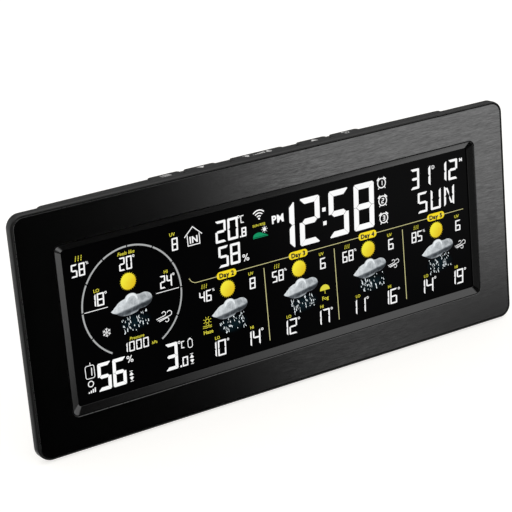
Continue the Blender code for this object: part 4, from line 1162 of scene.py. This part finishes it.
SIGNS = dict(zip(KEY_NODES, (list_sign, triangle_sign(-1), lamp_sign, triangle_sign(1), clock_sign)))
for node in KEY_NODES:
    low, high = console_box(node)
    centre = ((low.x + high.x) / 2, (low.y + high.y) / 2)
    half_across, half_deep = (high.x - low.x) / 2 - KEY_FLANGE, (high.y - low.y) / 2 - KEY_FLANGE
    top, deck = high.z, low.z + KEY_STEM_LENGTH
    crown = ((0.0, deck - 0.3), (0.0, top - 0.62), (0.03, top - 0.42), (0.13, top - 0.2), (0.3, top - 0.07),
             (0.55, top - 0.01), (0.8, top))
    flange = ((0.7, deck - 1.0), (0.8, deck - 0.9), (0.8, deck - 0.2), (0.7, deck - 0.1))
    stem = ((KEY_STEM_RADIUS - 0.2, low.z), (KEY_STEM_RADIUS, low.z + 0.2), (KEY_STEM_RADIUS, deck - 0.5))
    bm = bmesh.new()
    add_loft(bm, [level_ring(centre, half_across - inset, half_deep - inset, KEY_CORNER - inset, height)
                  for inset, height in crown])
    add_loft(bm, [level_ring(centre, half_across + reach, half_deep + reach, 0.6, height)
                  for reach, height in flange])
    add_loft(bm, [level_ring(centre, radius, radius, radius - 0.01, height) for radius, height in stem])
    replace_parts(piece_from(bm, f"{node}_cap", key_black, node, crease=40.0), node)
    bm = bmesh.new()
    SIGNS[node](bm, centre[0], PRINT_DEPTH, top)
    piece_from(bm, f"{node}_sign", print_white, node)


# --- Rear case ------------------------------------------------------------------------------------
# Moulded shell behind the frame, with a rear wall, screw wells, vents and a hinge pocket in its foot.
# Its edges are broken a little, and it has the frame's fine grain.


WELD_DISTANCE = 2e-6
FLAT_WITHIN = math.radians(0.6)
SHARP_FROM, EASED_FROM = math.radians(30.0), math.radians(40.0)


def softened(node, name, material, body, width=0.25, segments=2):
    """A copy of a carried solid with its sharp edges rounded, which stands in for it."""
    bm = bmesh.new()
    bm.from_mesh(frame["nodes"][node].data)
    bmesh.ops.remove_doubles(bm, verts=bm.verts, dist=WELD_DISTANCE)
    bmesh.ops.dissolve_limit(bm, angle_limit=FLAT_WITHIN, verts=bm.verts, edges=bm.edges)
    mesh = bpy.data.meshes.new(name)
    bm.to_mesh(mesh)
    bm.free()
    mesh.shade_smooth()
    mesh.set_sharp_from_angle(angle=SHARP_FROM)
    mesh.materials.append(material)
    piece = place_piece(mesh, name, body, Matrix.Identity(4))
    bevel = piece.modifiers.new("eased_edges", "BEVEL")
    bevel.width = width * MM
    bevel.segments = segments
    bevel.limit_method = "ANGLE"
    bevel.angle_limit = EASED_FROM
    flat_faces = piece.modifiers.new("flat_faces", "WEIGHTED_NORMAL")
    flat_faces.keep_sharp = True
    flat_faces.weight = 90
    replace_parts(piece, node)


softened("rear_case", "rear_shell", case_black, "console", 0.2)


# --- Rear signs -----------------------------------------------------------------------------------
# Small signs pad-printed in grey beside the rear controls: radio waves by the sensor button, a turned
# arrow by the reset button, a small and a large lamp at the dimmer's ends, and the jack's polarity.

print_grey = moulded("print_grey", 0.3, 0.55, pit=0.000004)
INK, MOULDED_UP = 0.08, 0.1
PRINT_SUNK = 0.03  # how far a sign reaches into the wall that it stands on


def back_sign(bm, name, material, body, height):
    """A drawing laid on the case's back wall, by its height above it."""
    thicken(bm, height)
    case_back = console_box("rear_case")[1].y
    bmesh.ops.translate(bm, verts=bm.verts, vec=(0.0, (case_back - LIT_DEPTH - PRINT_SUNK) * MM, 0.0))
    piece_from(bm, name, material, body)


signs = bmesh.new()
sign_across = console_box("sensor_button")[0].x - 5.0
sensor_up = console_middle("sensor_button")[1]
for radius in (1.0, 2.0, 3.0):
    draw_line(signs, arc((sign_across, sensor_up - 1.2), radius, 45, 135, 10), 0.4)
draw_disc(signs, (sign_across, sensor_up - 1.2), 0.4, 14)
reset_up = console_middle("reset_button")[1]
draw_line(signs, arc((sign_across, reset_up), 1.6, 60, 350, 24), 0.4)
draw_face(signs, [(sign_across + x, reset_up + y) for x, y in ((0.2, 1.7), (1.5, 2.4), (1.4, 0.8))])
dimmer_low, dimmer_high = console_box("dimmer_knob")
dimmer_across, dimmer_up = console_middle("dimmer_knob")
for across, radius in ((dimmer_across - 5.5, 0.55), (dimmer_across + 5.5, 0.9)):
    lamp = (across, dimmer_low.z - 2.6)
    draw_disc(signs, lamp, radius, 16)
    draw_rays(signs, lamp, radius + 0.3, radius + 0.8, 0.22)
jack_across = console_middle("dc_jack")[0]
polarity_up = console_box("dc_jack")[1].z + 3.5
draw_ring(signs, (jack_across, polarity_up), 0.9, 0.25, 20)
draw_disc(signs, (jack_across, polarity_up), 0.32, 12)
for left, right, width in ((-3.6, -1.1, 0.25), (0.4, 3.6, 0.25), (-5.2, -4.2, 0.3), (4.2, 5.2, 0.3)):
    draw_line(signs, [(jack_across + left, polarity_up), (jack_across + right, polarity_up)], width)
draw_line(signs, [(jack_across + 4.7, polarity_up - 0.5), (jack_across + 4.7, polarity_up + 0.5)], 0.3)
back_sign(signs, "rear_signs", print_grey, "console", INK)


# --- Battery door ---------------------------------------------------------------------------------
# Sliding door over the clock's backup cell, moulded like the case, with three grip ribs and an arrow
# that shows which way it slides.

softened("battery_door", "sliding_door", case_black, "battery_door", 0.12)
door_up = console_middle("battery_door")[1]
arrow_across = console_box("battery_door")[1].x - 8.0
arrow = bmesh.new()
draw_face(arrow, [(arrow_across - 3.0, door_up), (arrow_across, door_up + 2.2),
                  (arrow_across, door_up - 2.2)])
draw_face(arrow, oblong(arrow_across + 0.4, door_up - 0.7, arrow_across + 4.0, door_up + 0.7))
back_sign(arrow, "door_arrow", case_black, "battery_door", MOULDED_UP)


# --- Backup cell ----------------------------------------------------------------------------------
# Steel coin cell under a sprung clip, in a black moulded holder on the main board.

chip_black = moulded("chip_black", 0.014, 0.5, pit=0.00001, pit_scale=3000.0)


def plated(name, shade, dull, shine, warmth=(1.0, 1.0, 1.0)):
    """Plated metal: streaks from rolling, with duller patches."""
    material, tree, shader = new_material(name, Metallic=1.0)
    streaks = add_node(tree, "ShaderNodeGroup", node_tree=brushed).outputs
    patches = noise(tree, on_surface(tree), 260.0, 4.0)
    tone = ranged(tree, streaks["Value"], STREAKS_FROM, STREAKS_TO, shade * 0.82, shade)
    feed(shader, Base_Color=blended(tree, 1.0, tone, (*warmth, 1.0), "MULTIPLY"),
         Roughness=ranged(tree, patches, 0.3, 0.7, shine, dull))
    return material


nickel = plated("nickel", 0.66, 0.36, 0.2, (1.0, 0.99, 0.96))
zinc = plated("zinc", 0.56, 0.48, 0.3)
softened("cell_holder", "coin_cell_holder", chip_black, "console", 0.15)
softened("coin_cell", "steel_cell", nickel, "console", 0.3, 3)
softened("cell_clip", "sprung_clip", nickel, "console", 0.08)


# --- Rear controls --------------------------------------------------------------------------------
# Push buttons for the sensor search and the reset, and the dimmer's slide knob with a ridge to push.
# White moulded plastic with rounded ends.

control_white = moulded("control_white", 0.62, 0.42, tint=(1.0, 0.99, 0.95), pit=0.000008)
softened("sensor_button", "sensor_search_button", control_white, "sensor_button", 0.3, 3)
softened("reset_button", "reset_plunger", control_white, "reset_button", 0.3, 3)
softened("dimmer_knob", "dimmer_slider", control_white, "dimmer", 0.12)
ridge = bmesh.new()
RIDGE_HALF_HEIGHT = 1.2
for offset in (-1.2, 0.0, 1.2):
    across, rings = dimmer_across + offset, []
    for half, rise in ((0.3, -0.05), (0.26, 0.12), (0.14, 0.2)):
        outline = oblong(across - half, dimmer_up - RIDGE_HALF_HEIGHT,
                         across + half, dimmer_up + RIDGE_HALF_HEIGHT)
        rings.append(ring_at(outline, dimmer_high.y + rise))
    add_loft(ridge, rings)
piece_from(ridge, "dimmer_ridges", control_white, "dimmer")
softened("dc_jack", "power_socket", chip_black, "console", 0.2)


# --- Table stand ----------------------------------------------------------------------------------
# Fold-out stand with a barrel round a steel pin, notched for a fingertip, on two rubber pads. Grip
# lines are moulded into its upper face beside the notch.

rubber_black = moulded("rubber_black", 0.018, 0.8, pit=0.00002, pit_scale=1400.0, gloss_change=0.12)
softened("table_stand", "fold_out_stand", case_black, "stand", 0.25)
softened("stand_pad_left", "left_stand_pad", rubber_black, "stand", 0.15)
softened("stand_pad_right", "right_stand_pad", rubber_black, "stand", 0.15)
stand_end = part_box("table_stand")[1][1]
stand_top = max(vertex.co.z for vertex in frame["nodes"]["table_stand"].data.vertices
                if vertex.co.y > stand_end - 0.02) / MM
GRIP_HALF_LENGTH, GRIP_HALF_WIDTH = 9.0, 0.4
grip_lines = bmesh.new()
for line in range(4):
    back = stand_end / MM - 6.5 - 1.8 * line
    rings = []
    for inset, rise in ((0.0, -0.05), (0.08, 0.15), (0.22, 0.2)):
        half_length, half_width = GRIP_HALF_LENGTH - inset, GRIP_HALF_WIDTH - inset
        rings.append([(x, y, stand_top + rise)
                      for x, y in oblong(-half_length, back - half_width, half_length, back + half_width)])
    add_loft(grip_lines, rings)
piece_from(grip_lines, "stand_grip_lines", case_black, "stand", Matrix.Identity(4))
softened("stand_pin", "hinge_pin", zinc, "console", 0.15)


# --- Feet and screws ------------------------------------------------------------------------------
# Rubber wedges under the case, and six cross-headed screws in their wells, zinc plated.

softened("front_foot_left", "left_foot", rubber_black, "console", 0.2)
softened("front_foot_right", "right_foot", rubber_black, "console", 0.2)
for node in SCREW_NODES:
    softened(node, node.replace("case_screw", "pan_head_screw"), zinc, "console", 0.12)


# --- Backlight ------------------------------------------------------------------------------------
# White tray with the light guide, its films and a strip of lamps, all behind the glass. The films are
# frosted plastic; the reflector is silvered.

tray_white = moulded("tray_white", 0.7, 0.5, pit=0.00001)
frosted_film, tree, shader = new_material("frosted_film", Transmission_Weight=0.6, IOR=1.49)
frost = noise(tree, on_surface(tree), 1800.0)
feed(shader, Base_Color=blended(tree, frost, (0.5, 0.52, 0.55, 1.0), (0.62, 0.64, 0.67, 1.0)),
     Roughness=ranged(tree, frost, 0.3, 0.7, 0.25, 0.45))
for node in ("rear_polariser", "colour_film", "light_guide"):
    finish_node(node, frosted_film)
for node in ("diffuser_sheet", "display_carrier", "led_strip"):
    finish_node(node, tray_white)
finish_node("reflector_sheet", nickel)


# --- Ribbon cables --------------------------------------------------------------------------------
# Amber polyimide film with copper tracks printed side by side.

ribbon_foil, tree, shader = new_material("ribbon_foil")
waves = add_node(tree, "ShaderNodeTexWave", {"Vector": on_surface(tree), "Scale": 320.0, "Distortion": 0.0},
                 bands_direction="X").outputs["Fac"]
track = ranged(tree, waves, 0.45, 0.6, 0.0, 1.0)
feed(shader, Base_Color=blended(tree, track, (0.42, 0.19, 0.03, 1.0), (0.62, 0.33, 0.12, 1.0)),
     Roughness=calc(tree, "MULTIPLY_ADD", track, 0.12, 0.28))
for node in ("flex_cable_left", "flex_cable_right"):
    finish_node(node, ribbon_foil)


# --- Boards ---------------------------------------------------------------------------------------
# Green glass-fibre boards under solder mask: fine tracks show through it, and pads are tinned.

circuit_board, tree, shader = new_material("circuit_board", Coat_Weight=0.2)
at = on_surface(tree)
cells = add_node(tree, "ShaderNodeTexVoronoi", {"Vector": at, "Scale": 260.0}, feature="DISTANCE_TO_EDGE")
bare = ranged(tree, cells.outputs["Distance"], 0.03, 0.06, 0.0, 1.0)
pads = add_node(tree, "ShaderNodeTexVoronoi", {"Vector": at, "Scale": 420.0, "Randomness": 0.4})
tinned = ranged(tree, pads.outputs["Distance"], 0.16, 0.12, 0.0, 1.0)
mask = blended(tree, bare, (0.03, 0.22, 0.09, 1.0), (0.012, 0.12, 0.05, 1.0))
feed(shader, Base_Color=blended(tree, tinned, mask, (0.6, 0.58, 0.52, 1.0)), Metallic=tinned,
     Roughness=calc(tree, "MULTIPLY_ADD", bare, 0.14, 0.3))
for node in ("main_board", "wifi_board", "receiver_board", "key_board"):
    finish_node(node, circuit_board)


# --- Board components -----------------------------------------------------------------------------
# Chips, switches and the buzzer in black epoxy or moulded plastic; shield, crystal and aerial in
# plated metal; the climate sensor in white.

for node in ("processor_chip", "buzzer", "sensor_switch", "reset_switch"):
    softened(node, f"{node}_body", chip_black, "console", 0.12)
for number in range(1, 6):
    softened(f"key_switch_{number}", f"tact_switch_{number}", chip_black, "console", 0.12)
for node, metal in (("wifi_shield", nickel), ("crystal_can", nickel), ("dimmer_switch", zinc)):
    softened(node, f"{node}_body", metal, "console", 0.15)
softened("climate_sensor", "climate_sensor_body", tray_white, "console", 0.15)
finish_node("receiver_antenna", zinc)
